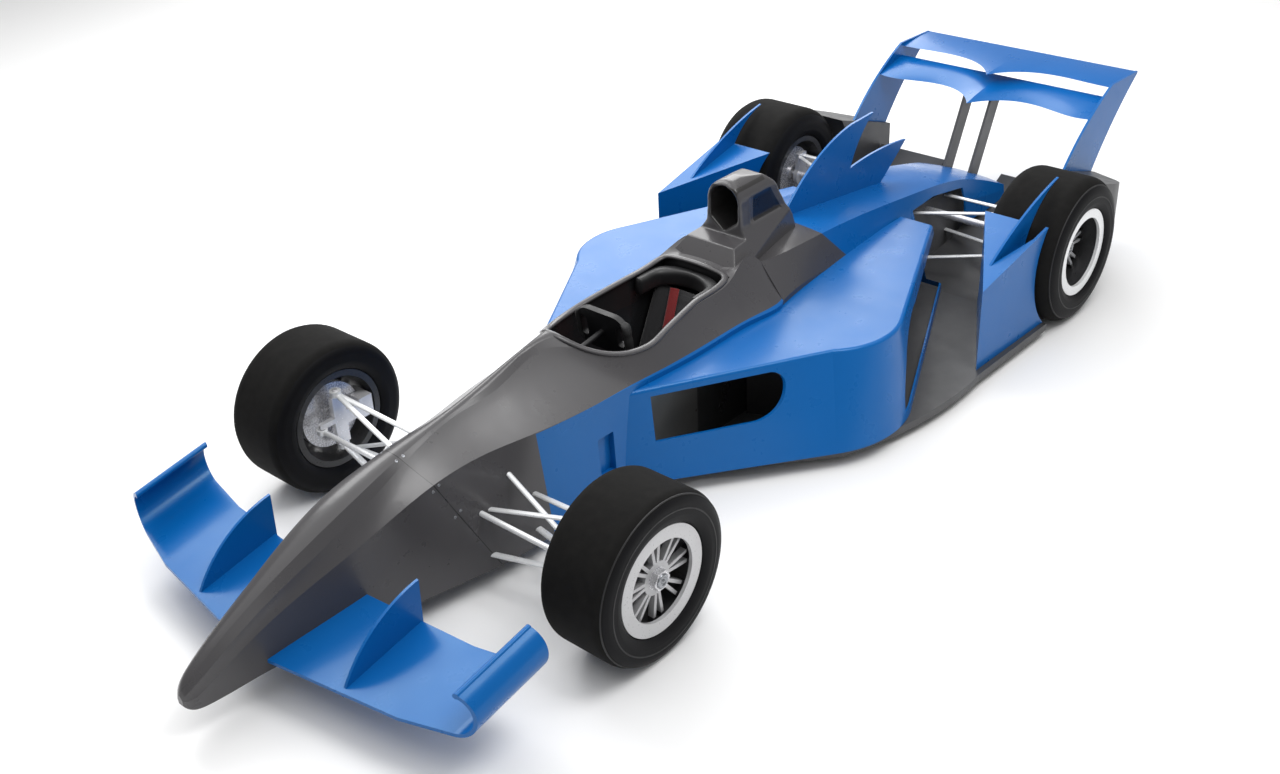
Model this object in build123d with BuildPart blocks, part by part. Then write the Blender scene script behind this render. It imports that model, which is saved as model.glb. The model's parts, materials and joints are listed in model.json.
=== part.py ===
from build123d import *
from collections import namedtuple
import math
import os

# Open wheel racing car: a single seater with its body, wings, suspension arms and four wheels.
# Millimetres. +X forward, +Y left, +Z up. The origin is on the ground, midway along the car.

os.makedirs("parts", exist_ok=True)

# Overall sizes
WHEELBASE = 3050
NOSE_OVERHANG = 1274
TAIL_OVERHANG = 1214
FRONT_AXLE_X = (TAIL_OVERHANG + WHEELBASE - NOSE_OVERHANG) / 2
REAR_AXLE_X = FRONT_AXLE_X - WHEELBASE

# Wheels and tyres
FRONT_TYRE_RADIUS = 325
FRONT_TYRE_WIDTH = 296
FRONT_OUTER_Y = 995
FRONT_SHOULDER = 48
REAR_TYRE_RADIUS = 347
REAR_TYRE_WIDTH = 378
REAR_OUTER_Y = 992
REAR_SHOULDER = 78
SHOULDER_LIMIT = 0.75
FRONT_INNER_Y = FRONT_OUTER_Y - FRONT_TYRE_WIDTH
REAR_INNER_Y = REAR_OUTER_Y - REAR_TYRE_WIDTH
FLANGE_RADIUS = 208.5
FLANGE_THICK = 12
FLANGE_INSET = 16
BARREL_RADIUS = 192
BARREL_WALL = 10
FRONT_LIP_RADIUS = 156
REAR_LIP_RADIUS = 166
RIM_FACE_THICK = 14
RIM_CENTRE_RADIUS = 64
RIM_CENTRE_THICK = 24
SPOKE_PAIRS = 8
SPOKE_WIDTH = 13
SPOKE_THICK = 24
SPOKE_PAIR_ANGLE = 15
FRONT_DISH = 26
REAR_DISH = 90
HUB_RADIUS = 42
HUB_START = 58
NUT_RADIUS = 40
NUT_LENGTH = 24
DISC_RADIUS = 140
DISC_THICK = 28
DISC_START = 70
SPINDLE_RADIUS = 22
RUNNING_FIT = 0.4

# Uprights and steering
KINGPIN_INSET = 16
KINGPIN_RADIUS = 11
EYE_WALL = 13
EYE_HEIGHT = 24
UPPER_EYE_RISE = 120
LOWER_EYE_DROP = 120
POST_HALF_X = 30
POST_THICK = 22
STEER_ARM = 90
STEER_ARM_HEIGHT = 22
STEER_PIN_RADIUS = 8
ROD_EYE_ROOM = 6
ROD_EYE_WALL = 8
TIE_ROD_RADIUS = 11
CALIPER_INNER = 100
CALIPER_OUTER = 163
CALIPER_HALF_HEIGHT = 45
CALIPER_ROOM = 4
CALIPER_WIDTH = 110
COLUMN_RADIUS = 12
COLUMN_LENGTH = 390
COLUMN_TILT = 8
STEERING_WHEEL_X = -830
STEERING_WHEEL_Z = 605
STEERING_WHEEL_WIDTH = 270
STEERING_WHEEL_HEIGHT = 180
STEERING_WHEEL_THICK = 26

# Body
FLOOR_BOTTOM = 40
FLOOR_TOP = 76
SKIN = 9
COCKPIT_FRONT_X = -500
COCKPIT_BROW_X = -659
COCKPIT_BROW_HALF = 166
COCKPIT_WIDE_X = -864
COCKPIT_WIDE_HALF = 222
COCKPIT_NECK_X = -1180
COCKPIT_NECK_HALF = 180
COCKPIT_REAR_X = -1400
COCKPIT_FLOOR = 110
TUNNEL_HALF = 125
TUNNEL_TOP = 470
TUNNEL_FRONT_X = 10
CELL_REAR_X = -1600
FIN_THICK = 11
WING_THICK = 14
ENDPLATE_THICK = 12
ENDPLATE_Y = 617
TYRE_ROOM = 26
DIFFUSER_INNER = 170
DIFFUSER_OUTER = 575
PANEL_THICK = 10


def front(x):
    """A station measured from the front axle."""
    return FRONT_AXLE_X + x


def rear(x):
    """A station measured from the rear axle."""
    return REAR_AXLE_X + x


def bay(share):
    """A station between the cell's rear end and the rear axle."""
    return front(CELL_REAR_X) + share * (REAR_AXLE_X - front(CELL_REAR_X))


def save(builder, name):
    """Label one sub-part and write its file."""
    builder.part.label = name
    export_step(builder.part, f"parts/{name}.step")


def save_pair(builder, name):
    """Write a left sub-part and its mirror image on the right."""
    save(builder, name + "_left")
    with BuildPart() as right:
        mirror(builder.part, about=Plane.XZ)
    save(right, name + "_right")


def polygon(plane, points):
    """A flat face with straight edges on a plane."""
    with BuildSketch(plane) as face:
        with BuildLine():
            Polyline(*points, close=True)
        make_face()
    return face.sketch


def rod(start, end, half_chord, half_thick):
    """A straight streamlined rod between two points, its chord along the car."""
    run = Vector(*end) - Vector(*start)
    with BuildSketch(Plane(origin=start, x_dir=(1, 0, 0), z_dir=run)) as section:
        Ellipse(half_chord, half_thick)
    extrude(section.sketch, amount=run.length)


# Nose and survival cell: one hull, lofted and then parted at a slanted joint
HullRow = namedtuple(
    "HullRow",
    "x bottom_z bottom_half shoulder_z shoulder_half groove_z groove_half spine_z spine_half centre_z")
HULL = [
    HullRow(front(NOSE_OVERHANG), 140, 12, 160, 14, 169, 11, 175, 6, 178),
    HullRow(front(NOSE_OVERHANG - 19), 120, 26, 165, 36, 192, 28, 207, 16, 214),
    HullRow(front(NOSE_OVERHANG - 74), 110, 40, 190, 52, 230, 42, 253, 22, 261),
    HullRow(front(NOSE_OVERHANG - 274), 120, 70, 285, 72, 338, 57, 365, 30, 373),
    HullRow(front(560), 112, 165, 430, 130, 503, 82, 545, 58, 560),
    HullRow(front(320), 98, 205, 498, 152, 575, 60, 596, 40, 606),
    HullRow(front(0), FLOOR_TOP, 250, 516, 169, 629, 28, 638, 16, 643),
    HullRow(front(-190), FLOOR_TOP, 265, 512, 207, 648, 40, 670, 20, 680),
    HullRow(front(COCKPIT_FRONT_X), FLOOR_TOP, 270, 508, 250, 690, 60, 722, 30, 733),
    HullRow(front(COCKPIT_BROW_X), FLOOR_TOP, 270, 505, 262, 618, 172, 690, 100, 722),
    HullRow(front(COCKPIT_WIDE_X), FLOOR_TOP, 285, 500, 285, 598, 228, 670, 150, 715),
    HullRow(front(COCKPIT_NECK_X), FLOOR_TOP, 300, 500, 300, 630, 196, 680, 120, 700),
    HullRow(front(COCKPIT_REAR_X), FLOOR_TOP, 310, 500, 310, 652, 192, 664, 110, 670),
    HullRow(front(CELL_REAR_X), FLOOR_TOP, 310, 500, 310, 648, 192, 633, 110, 625),
]
FLANK_BULGE = 0.03
NOSE_JOINT = Plane(origin=(front(175), 0, 333), z_dir=(293, 0, -136))


def hull_section(row):
    """One cross-section of the hull: flat floor and sides, bulged flanks, and a spine between two grooves."""
    with BuildSketch(Plane.YZ.offset(row.x)) as section:
        with BuildLine():
            Polyline((-row.shoulder_half, row.shoulder_z), (-row.bottom_half, row.bottom_z),
                     (row.bottom_half, row.bottom_z), (row.shoulder_half, row.shoulder_z))
            chord = math.hypot(row.shoulder_half - row.groove_half, row.groove_z - row.shoulder_z)
            for side in (1, -1):
                shoulder = (side * row.shoulder_half, row.shoulder_z)
                groove = (side * row.groove_half, row.groove_z)
                SagittaArc(shoulder, groove, side * FLANK_BULGE * chord)
                Line(groove, (side * row.spine_half, row.spine_z))
            ThreePointArc((row.spine_half, row.spine_z), (0, row.centre_z), (-row.spine_half, row.spine_z))
        make_face()
    return section.sketch


with BuildPart() as hull:
    loft([hull_section(row) for row in HULL])

with BuildPart() as nose_cone:
    split(hull.part, bisect_by=NOSE_JOINT, keep=Keep.TOP)
save(nose_cone, "nose_cone")

# Roll hoop and airbox on a low fairing, let into the cell's rear end and the engine cover
HOOP_TOP = 968
HOOP_FOOT = 600
HOOP_FACE_X = -1590
HOOP_REAR_X = -2000
FAIRING_X = -1440
FAIRING_TOP = 735
FAIRING_HALF = 186
HOOP_HALF = 96
HOOP_SPRING_HALF = 88
HOOP_SPRING_Z = 870
INTAKE_HALF = 72
INTAKE_TOP = 946
INTAKE_DEPTH = 0.585
PANEL_RECESS_Y = 82
PANEL_LOW = 776
PANEL_HIGH = 892


def hoop_at(share):
    """A station along the hoop, from its face at 0 to its rear foot at 1."""
    return front(HOOP_FACE_X + share * (HOOP_REAR_X - HOOP_FACE_X))


FAIRING_FRONT = front(FAIRING_X)
FAIRING_WAIST = front(0.2 * HOOP_FACE_X + 0.8 * FAIRING_X)
HOOP_SIDE = [
    (FAIRING_FRONT, HOOP_FOOT), (FAIRING_FRONT, FAIRING_TOP - 85),
    (front(0.4 * HOOP_FACE_X + 0.6 * FAIRING_X), FAIRING_TOP - 7), (hoop_at(0), FAIRING_TOP),
    (hoop_at(0), HOOP_TOP - 23), (hoop_at(0.063), HOOP_TOP), (hoop_at(0.232), HOOP_TOP),
    (hoop_at(0.512), HOOP_TOP - 20), (hoop_at(0.634), HOOP_TOP - 63), (hoop_at(0.902), HOOP_FOOT + 100),
    (hoop_at(1), HOOP_FOOT)]
HOOP_PLAN = [
    (FAIRING_FRONT, FAIRING_HALF), (FAIRING_WAIST, FAIRING_HALF), (hoop_at(1), HOOP_HALF),
    (hoop_at(1), -HOOP_HALF), (FAIRING_WAIST, -FAIRING_HALF), (FAIRING_FRONT, -FAIRING_HALF)]
PANEL = [
    (hoop_at(0.176), PANEL_LOW), (hoop_at(0.18), PANEL_HIGH), (hoop_at(0.532), PANEL_HIGH),
    (hoop_at(0.707), PANEL_LOW)]

with BuildPart() as roll_hoop:
    extrude(polygon(Plane.XZ.offset(-FAIRING_HALF), HOOP_SIDE), amount=2 * FAIRING_HALF)
    with BuildSketch(Plane.YZ.offset(front(FAIRING_X))):
        with BuildLine():
            Polyline((HOOP_SPRING_HALF, HOOP_SPRING_Z), (HOOP_HALF, FAIRING_TOP + 40),
                     (HOOP_HALF + 12, FAIRING_TOP + 21), (FAIRING_HALF - 10, HOOP_FOOT + 50),
                     (FAIRING_HALF, HOOP_FOOT), (-FAIRING_HALF, HOOP_FOOT),
                     (-FAIRING_HALF + 10, HOOP_FOOT + 50), (-HOOP_HALF - 12, FAIRING_TOP + 21),
                     (-HOOP_HALF, FAIRING_TOP + 40), (-HOOP_SPRING_HALF, HOOP_SPRING_Z))
            ThreePointArc((-HOOP_SPRING_HALF, HOOP_SPRING_Z), (0, HOOP_TOP + 2),
                          (HOOP_SPRING_HALF, HOOP_SPRING_Z))
        make_face()
    extrude(amount=HOOP_REAR_X - FAIRING_X, mode=Mode.INTERSECT)
    extrude(polygon(Plane.XY.offset(HOOP_FOOT), HOOP_PLAN), amount=HOOP_TOP - HOOP_FOOT, mode=Mode.INTERSECT)
    # The intake, round above and pointed below, faces forward, and a panel is let into each side
    with BuildSketch(Plane.YZ.offset(front(HOOP_FACE_X))):
        with BuildLine():
            Polyline((INTAKE_HALF, HOOP_SPRING_Z), (INTAKE_HALF, FAIRING_TOP + 66), (0, FAIRING_TOP + 10),
                     (-INTAKE_HALF, FAIRING_TOP + 66), (-INTAKE_HALF, HOOP_SPRING_Z))
            ThreePointArc((-INTAKE_HALF, HOOP_SPRING_Z), (0, INTAKE_TOP), (INTAKE_HALF, HOOP_SPRING_Z))
        make_face()
    extrude(amount=hoop_at(INTAKE_DEPTH) - hoop_at(0), mode=Mode.SUBTRACT)
    for side in (1, -1):
        panel = polygon(Plane.XZ.offset(-side * PANEL_RECESS_Y), PANEL)
        extrude(panel, amount=-side * HOOP_HALF, mode=Mode.SUBTRACT)
save(roll_hoop, "roll_hoop")

TIE_ROD_X = front(STEER_ARM)
TIE_ROD_Z = FRONT_TYRE_RADIUS - 15
STEER_AXIS = Plane(
    origin=(front(STEERING_WHEEL_X), 0, STEERING_WHEEL_Z), x_dir=(0, 1, 0),
    z_dir=(math.cos(math.radians(COLUMN_TILT)), 0, -math.sin(math.radians(COLUMN_TILT))))
CELL_TOP = 800
NOTCH = [(front(-475), 180), (front(-560), 180), (front(-560), 355), (front(-475), 355)]
NOTCH_FLOOR_Y = 235

with BuildPart() as survival_cell:
    split(hull.part, bisect_by=NOSE_JOINT, keep=Keep.BOTTOM)
    # The cockpit, open above, and the tunnel for the legs ahead of it
    with BuildSketch(Plane.XY.offset(COCKPIT_FLOOR)):
        with BuildLine():
            for side in (1, -1):
                ThreePointArc((front(COCKPIT_FRONT_X), 0), (front(COCKPIT_BROW_X), side * COCKPIT_BROW_HALF),
                              (front(COCKPIT_WIDE_X), side * COCKPIT_WIDE_HALF))
                Polyline((front(COCKPIT_WIDE_X), side * COCKPIT_WIDE_HALF),
                         (front(COCKPIT_NECK_X), side * COCKPIT_NECK_HALF),
                         (front(COCKPIT_REAR_X), side * COCKPIT_NECK_HALF), (front(COCKPIT_REAR_X), 0))
        make_face()
    extrude(amount=CELL_TOP - COCKPIT_FLOOR, mode=Mode.SUBTRACT)
    with BuildSketch(Plane.YZ.offset(front(TUNNEL_FRONT_X))):
        with Locations((0, (COCKPIT_FLOOR + TUNNEL_TOP) / 2)):
            RectangleRounded(2 * TUNNEL_HALF, TUNNEL_TOP - COCKPIT_FLOOR, 40)
    extrude(amount=COCKPIT_WIDE_X - TUNNEL_FRONT_X, mode=Mode.SUBTRACT)
    # Bores for the steering column and for the steering rack
    with BuildSketch(STEER_AXIS):
        Circle(COLUMN_RADIUS + RUNNING_FIT)
    extrude(amount=COLUMN_LENGTH + 2, mode=Mode.SUBTRACT)
    with BuildSketch(Plane.XZ.offset(-FRONT_OUTER_Y)):
        with Locations((TIE_ROD_X, TIE_ROD_Z)):
            Circle(TIE_ROD_RADIUS + RUNNING_FIT)
    extrude(amount=2 * FRONT_OUTER_Y, mode=Mode.SUBTRACT)
    # A shallow notch in each flank, behind the front wheel
    for side in (1, -1):
        notch = polygon(Plane.XZ.offset(-side * NOTCH_FLOOR_Y), NOTCH)
        extrude(notch, amount=-side * NOTCH_FLOOR_Y, mode=Mode.SUBTRACT)
    add(roll_hoop.part, mode=Mode.SUBTRACT)
save(survival_cell, "survival_cell")

# Front wing: a flat plane whose tips curl up and in, on both sides of the nose
WING_Z = 160
WING_REF_X = front(900)
WING_PITCH = 10
CURL_RADIUS = 85
CURL_CENTRE_Y = 838
CURL_ANGLE = 162
LIP_RADIUS = 11
WING_CHORD_REACH = 480
WingRow = namedtuple("WingRow", "y leading trailing")
FRONT_WING = [WingRow(40, 985, 605), WingRow(640, 900, 560), WingRow(940, 815, 498)]
WING_FIN_Y = 400

with BuildPart() as front_wing_left:
    curl_centre = (CURL_CENTRE_Y, WING_Z + CURL_RADIUS)
    outer = CURL_RADIUS + WING_THICK / 2
    inner = CURL_RADIUS - WING_THICK / 2
    lip_turn = math.radians(CURL_ANGLE - 90)
    lip = (curl_centre[0] + CURL_RADIUS * math.cos(lip_turn),
           curl_centre[1] + CURL_RADIUS * math.sin(lip_turn))
    start_x = WING_REF_X + 110
    start_drop = (start_x - WING_REF_X) * math.tan(math.radians(WING_PITCH))
    pitch = math.radians(WING_PITCH)
    with BuildSketch(Plane.YZ.offset(start_x).move(Location((0, 0, -start_drop)))):
        with BuildLine():
            Line((FRONT_WING[0].y, WING_Z - WING_THICK / 2), (CURL_CENTRE_Y, WING_Z - WING_THICK / 2))
            outer_arc = CenterArc(curl_centre, outer, -90, CURL_ANGLE)
            inner_arc = CenterArc(curl_centre, inner, -90, CURL_ANGLE)
            Line(outer_arc @ 1, inner_arc @ 1)
            Polyline(inner_arc @ 0, (FRONT_WING[0].y, WING_Z + WING_THICK / 2),
                     (FRONT_WING[0].y, WING_Z - WING_THICK / 2))
        make_face()
        with Locations(lip):
            Circle(LIP_RADIUS)
    extrude(amount=WING_CHORD_REACH / math.cos(pitch) + 60, dir=(-math.cos(pitch), 0, math.sin(pitch)))
    edge = [(front(row.leading), row.y) for row in FRONT_WING]
    back = [(front(row.trailing), row.y) for row in reversed(FRONT_WING)]
    extrude(polygon(Plane.XY, edge + back), amount=CELL_TOP, mode=Mode.INTERSECT)
    add(nose_cone.part, mode=Mode.SUBTRACT)
save_pair(front_wing_left, "front_wing")


def wing_mid_z(x):
    """Height of the front wing's flat plane at a station from the front axle."""
    return WING_Z + (WING_REF_X - front(x)) * math.tan(math.radians(WING_PITCH))


with BuildPart() as front_wing_fins:
    with BuildSketch(Plane.XZ.offset(-WING_FIN_Y - FIN_THICK / 2)):
        with BuildLine():
            tip = (front(566), 407)
            nose_end = (front(930), wing_mid_z(930))
            ThreePointArc(nose_end, (front(790), 318), tip)
            Polyline(tip, (front(572), wing_mid_z(572)), nose_end)
        make_face()
    extrude(amount=FIN_THICK)
    add(front_wing_left.part, mode=Mode.SUBTRACT)
    mirror(about=Plane.XZ)
save(front_wing_fins, "front_wing_fins")

# Engine cover: a hollow skin from the survival cell back to a blunt tail
CoverRow = namedtuple(
    "CoverRow", "x bottom_z bottom_half shoulder_z shoulder_half ridge_z ridge_half centre_z")
COVER = [
    CoverRow(bay(0), 300, 310, 500, 310, 648, 192, 625),
    CoverRow(bay(0.28), 300, 275, 480, 266, 622, 205, 650),
    CoverRow(bay(0.52), 290, 264, 450, 252, 590, 200, 606),
    CoverRow(bay(0.72), 280, 252, 430, 240, 553, 198, 565),
    CoverRow(rear(-250), 205, 222, 320, 208, 428, 174, 440),
    CoverRow(rear(-570), 250, 262, 285, 259, 312, 255, 332),
]
COVER_REACH = 30


def cover_section(row, inset, reach):
    """One cross-section of the engine cover, drawn in by a wall and let down below its edge."""
    with BuildSketch(Plane.YZ.offset(row.x)) as section:
        with BuildLine():
            ridge = (row.ridge_half - inset, row.ridge_z - inset)
            shoulder = (row.shoulder_half - inset, row.shoulder_z)
            foot = (row.bottom_half - inset, row.bottom_z - reach)
            Polyline((-ridge[0], ridge[1]), (-shoulder[0], shoulder[1]), (-foot[0], foot[1]), foot,
                     shoulder, ridge)
            ThreePointArc(ridge, (0, row.centre_z - inset), (-ridge[0], ridge[1]))
        make_face()
    return section.sketch


with BuildPart() as cover_form:
    loft([cover_section(row, 0, 0) for row in COVER])

# Pylons of the rear wing stand on the gearbox and pass through the tail of the cover
PYLON_Y = 75
PYLON_THICK = 14
GEARBOX_REAR = rear(-600)
GEARBOX_DECK = 290
PYLON_CHORD = 100
PYLON_FOOT_X = rear(-490)
PYLON_HEAD_X = rear(-690)
PYLON_HEAD_Z = 697

with BuildPart() as pylon_form:
    blade = polygon(Plane.XZ.offset(-PYLON_Y - PYLON_THICK / 2), [
        (PYLON_FOOT_X, GEARBOX_DECK), (PYLON_HEAD_X, PYLON_HEAD_Z),
        (PYLON_HEAD_X - PYLON_CHORD, PYLON_HEAD_Z), (PYLON_FOOT_X - PYLON_CHORD, GEARBOX_DECK)])
    extrude(blade, amount=PYLON_THICK)
    mirror(about=Plane.XZ)

with BuildPart() as engine_cover:
    add(cover_form.part)
    loft([cover_section(row, SKIN, COVER_REACH) for row in COVER], mode=Mode.SUBTRACT)
    # Openings in the flanks for the rear arms and drive shafts
    arm_window = polygon(Plane.XZ.offset(-REAR_OUTER_Y), [
        (rear(270), 150), (rear(270), 460), (rear(50), 450), (rear(-260), 385), (rear(-260), 150)])
    extrude(arm_window, amount=2 * REAR_OUTER_Y, mode=Mode.SUBTRACT)
    add(pylon_form.part, mode=Mode.SUBTRACT)
    add(roll_hoop.part, mode=Mode.SUBTRACT)
save(engine_cover, "engine_cover")

# Dorsal fin: one plate on the centre plane with two swept points, starting behind the hoop
FIN_START_X = front(HOOP_REAR_X - 40)
FIN_PEAK = 924
FIN_NOTCH = 706
FIN_END = 694
FIN_ROOT = 530
with BuildPart() as dorsal_fin:
    with BuildSketch(Plane.XZ.offset(-FIN_THICK / 2)):
        with BuildLine():
            fin_start = (FIN_START_X, FIN_NOTCH - 36)
            peak = (bay(0.66), FIN_PEAK - 2)
            peak_end = (bay(0.78), FIN_PEAK + 2)
            notch = (bay(0.655), FIN_NOTCH)
            fin_end = (bay(0.99), FIN_END)
            ThreePointArc(fin_start, (bay(0.46), FIN_PEAK - 88), peak)
            Line(peak, peak_end)
            ThreePointArc(peak_end, (bay(0.697), (FIN_PEAK + FIN_NOTCH) / 2), notch)
            ThreePointArc(notch, (bay(0.82), FIN_NOTCH + 11), fin_end)
            Polyline(fin_end, (bay(0.834), FIN_ROOT), (bay(0.45), FIN_ROOT),
                     (FIN_START_X, FIN_ROOT), fin_start)
        make_face()
    extrude(amount=FIN_THICK)
    add(cover_form.part, mode=Mode.SUBTRACT)
save(dorsal_fin, "dorsal_fin")

# Floor: a flat tray with two ramps that rise behind the rear axle
RAMP_START = rear(350)
RAMP_END = rear(-700)
RAMP_RISE = 255
RAMP_MID = 66
TRAY_REAR = rear(260)
KEEL_REAR = rear(-560)

with BuildPart() as floor:
    with BuildSketch(Plane.XY.offset(FLOOR_BOTTOM)):
        with BuildLine():
            Polyline((TRAY_REAR, 0), (front(-450), 0), (front(-450), 200), (front(-620), 270),
                     (front(-900), 405), (front(-1340), 800))
            ThreePointArc((front(-1340), 800), (front(-1650), 902), (front(-2200), 940))
            Polyline((front(-2200), 940), (TRAY_REAR, 955), (TRAY_REAR, 0))
        make_face()
        mirror(about=Plane.XZ)
    extrude(amount=FLOOR_TOP - FLOOR_BOTTOM)
    with BuildSketch(Plane.XY.offset(FLOOR_BOTTOM)):
        with Locations(((TRAY_REAR + KEEL_REAR) / 2, 0)):
            Rectangle(TRAY_REAR - KEEL_REAR, 2 * DIFFUSER_INNER)
    extrude(amount=FLOOR_TOP - FLOOR_BOTTOM)
    ramp_mid_x = (RAMP_START + RAMP_END) / 2
    for side in (1, -1):
        low, high = sorted((side * DIFFUSER_INNER, side * DIFFUSER_OUTER))
        with BuildSketch(Plane.XZ.offset(-high)):
            with BuildLine():
                ThreePointArc((RAMP_START, FLOOR_BOTTOM), (ramp_mid_x, FLOOR_BOTTOM + RAMP_MID),
                              (RAMP_END, FLOOR_BOTTOM + RAMP_RISE))
                ThreePointArc((RAMP_START, FLOOR_BOTTOM + PANEL_THICK),
                              (ramp_mid_x, FLOOR_BOTTOM + RAMP_MID + PANEL_THICK),
                              (RAMP_END, FLOOR_BOTTOM + RAMP_RISE + PANEL_THICK))
                Line((RAMP_START, FLOOR_BOTTOM), (RAMP_START, FLOOR_BOTTOM + PANEL_THICK))
                Line((RAMP_END, FLOOR_BOTTOM + RAMP_RISE), (RAMP_END, FLOOR_BOTTOM + RAMP_RISE + PANEL_THICK))
            make_face()
        extrude(amount=high - low)
    for fence_y in (DIFFUSER_INNER, DIFFUSER_OUTER, -DIFFUSER_INNER, -DIFFUSER_OUTER):
        with BuildSketch(Plane.XZ.offset(-fence_y - PANEL_THICK / 2)):
            with BuildLine():
                ThreePointArc((RAMP_START, FLOOR_BOTTOM), (ramp_mid_x, FLOOR_BOTTOM + RAMP_MID),
                              (RAMP_END, FLOOR_BOTTOM + RAMP_RISE))
                Polyline((RAMP_END, FLOOR_BOTTOM + RAMP_RISE), (RAMP_END, FLOOR_BOTTOM),
                         (RAMP_START, FLOOR_BOTTOM))
            make_face()
        extrude(amount=PANEL_THICK)
    add(hull.part, mode=Mode.SUBTRACT)
save(floor, "floor")

# Sidepods: hollow skins beside the cell, open at the inlet in front and at the outlet behind
POD_TOP = 480
POD_INNER = 232
PodRow = namedtuple("PodRow", "z nose_x nose_y turn_x turn_y wide_x wide_y waist_x waist_y tail_x tail_y")
POD_FOOT = PodRow(FLOOR_TOP, front(-600), 270, front(-1300), 800, front(-1580), 898,
                  front(-1800), 845, rear(230), 380)
POD_EDGE_RADIUS = 16
INLET_DEPTH_Y = 300
INLET_FRONT_LOW = (front(-722), 250)
INLET_FRONT_HIGH = (front(-730), 446)
INLET_REAR_HIGH = (front(-1160), 446)
INLET_REAR_END = (front(-1202), 390)
INLET_REAR_LOW = (front(-1070), 258)
POD_CROWN = PodRow(POD_TOP, front(-640), 250, front(-1400), 700, front(-1620), 812,
                   front(-1800), 778, rear(400), 405)


def pod_section(row, inset, inner_y, z):
    """One level of a sidepod seen from above, drawn in by a wall."""
    with BuildSketch(Plane.XY.offset(z)) as section:
        with BuildLine():
            turn = (row.turn_x - inset * 0.6, row.turn_y - inset * 0.8)
            waist = (row.waist_x, row.waist_y - inset)
            Polyline((row.tail_x, inner_y), (row.nose_x - inset, inner_y),
                     (row.nose_x - inset, row.nose_y - inset * 0.8), turn)
            ThreePointArc(turn, (row.wide_x, row.wide_y - inset), waist)
            Polyline(waist, (row.tail_x, row.tail_y - inset), (row.tail_x, inner_y))
        make_face()
    return section.sketch


with BuildPart() as sidepod_left:
    outside = [pod_section(row, 0, POD_INNER, row.z) for row in (POD_FOOT, POD_CROWN)]
    loft(outside, ruled=True)
    crown_edges = edges().group_by(Axis.Z)[-1].sort_by(Axis.Y)[1:]
    fillet(crown_edges.filter_by(lambda edge: edge.center().X < POD_CROWN.nose_x
                                 and edge.center().X > POD_CROWN.tail_x), POD_EDGE_RADIUS)
    inside = [pod_section(POD_FOOT, SKIN, POD_INNER - 60, POD_FOOT.z),
              pod_section(POD_CROWN, SKIN, POD_INNER - 60, POD_CROWN.z - SKIN)]
    loft(inside, ruled=True, mode=Mode.SUBTRACT)
    # The inlet in the slanted front face
    with BuildSketch(Plane.XZ.offset(-INLET_DEPTH_Y)):
        with BuildLine():
            Polyline(INLET_REAR_LOW, INLET_FRONT_LOW, INLET_FRONT_HIGH, INLET_REAR_HIGH)
            ThreePointArc(INLET_REAR_HIGH, (front(-1192), 428), INLET_REAR_END)
            ThreePointArc(INLET_REAR_END, (front(-1166), 312), INLET_REAR_LOW)
        make_face()
    extrude(amount=-700, mode=Mode.SUBTRACT)
    # The outlet, open to the rear, over a low lip
    with BuildSketch(Plane.XZ.offset(-300)):
        with BuildLine():
            ThreePointArc((front(-1690), 108), (front(-1800), 322), (front(-2080), 400))
            Polyline((front(-2080), 400), (rear(300), 432), (rear(100), 432), (rear(100), 108),
                     (front(-1690), 108))
        make_face()
    extrude(amount=-700, mode=Mode.SUBTRACT)
    add(hull.part, mode=Mode.SUBTRACT)
    add(cover_form.part, mode=Mode.SUBTRACT)
save_pair(sidepod_left, "sidepod")

RADIATOR_TOP = 440
with BuildPart() as radiators:
    core = polygon(Plane.XY.offset(FLOOR_TOP), [
        (front(-1330), 318), (front(-1530), 730), (front(-1585), 705), (front(-1385), 318)])
    extrude(core, amount=RADIATOR_TOP - FLOOR_TOP)
    mirror(about=Plane.XZ)
save(radiators, "radiators")

# Engine, one plain block, and the gearbox behind it
ENGINE_HALF = 190
ENGINE_TOP = 480
GEARBOX_FRONT = rear(300)
with BuildPart() as engine:
    with BuildSketch(Plane.YZ.offset(front(CELL_REAR_X))):
        with Locations((0, (FLOOR_TOP + ENGINE_TOP) / 2)):
            Rectangle(2 * ENGINE_HALF, ENGINE_TOP - FLOOR_TOP)
    extrude(amount=GEARBOX_FRONT - front(CELL_REAR_X))
save(engine, "engine")

GearRow = namedtuple("GearRow", "x half_width top")
GEARBOX = [
    GearRow(GEARBOX_FRONT, 150, REAR_TYRE_RADIUS + 73),
    GearRow(rear(-220), 130, REAR_TYRE_RADIUS + 28),
    GearRow(GEARBOX_REAR, 105, GEARBOX_DECK)]
SHAFT_RADIUS = 18
STARTER_RADIUS = 22
STARTER_DEPTH = 80
STARTER_Z = 180
with BuildPart() as gearbox:
    for row in GEARBOX:
        with BuildSketch(Plane.YZ.offset(row.x)):
            with Locations((0, (FLOOR_TOP + row.top) / 2)):
                Rectangle(2 * row.half_width, row.top - FLOOR_TOP)
    loft(ruled=True)
    with BuildSketch(Plane.XZ.offset(-200)):
        with Locations((REAR_AXLE_X, REAR_TYRE_RADIUS)):
            Circle(SHAFT_RADIUS + RUNNING_FIT)
    extrude(amount=400, mode=Mode.SUBTRACT)
    with BuildSketch(Plane.YZ.offset(GEARBOX_REAR)):
        with Locations((0, STARTER_Z)):
            Circle(STARTER_RADIUS)
    extrude(amount=STARTER_DEPTH, mode=Mode.SUBTRACT)
save(gearbox, "gearbox")

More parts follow.
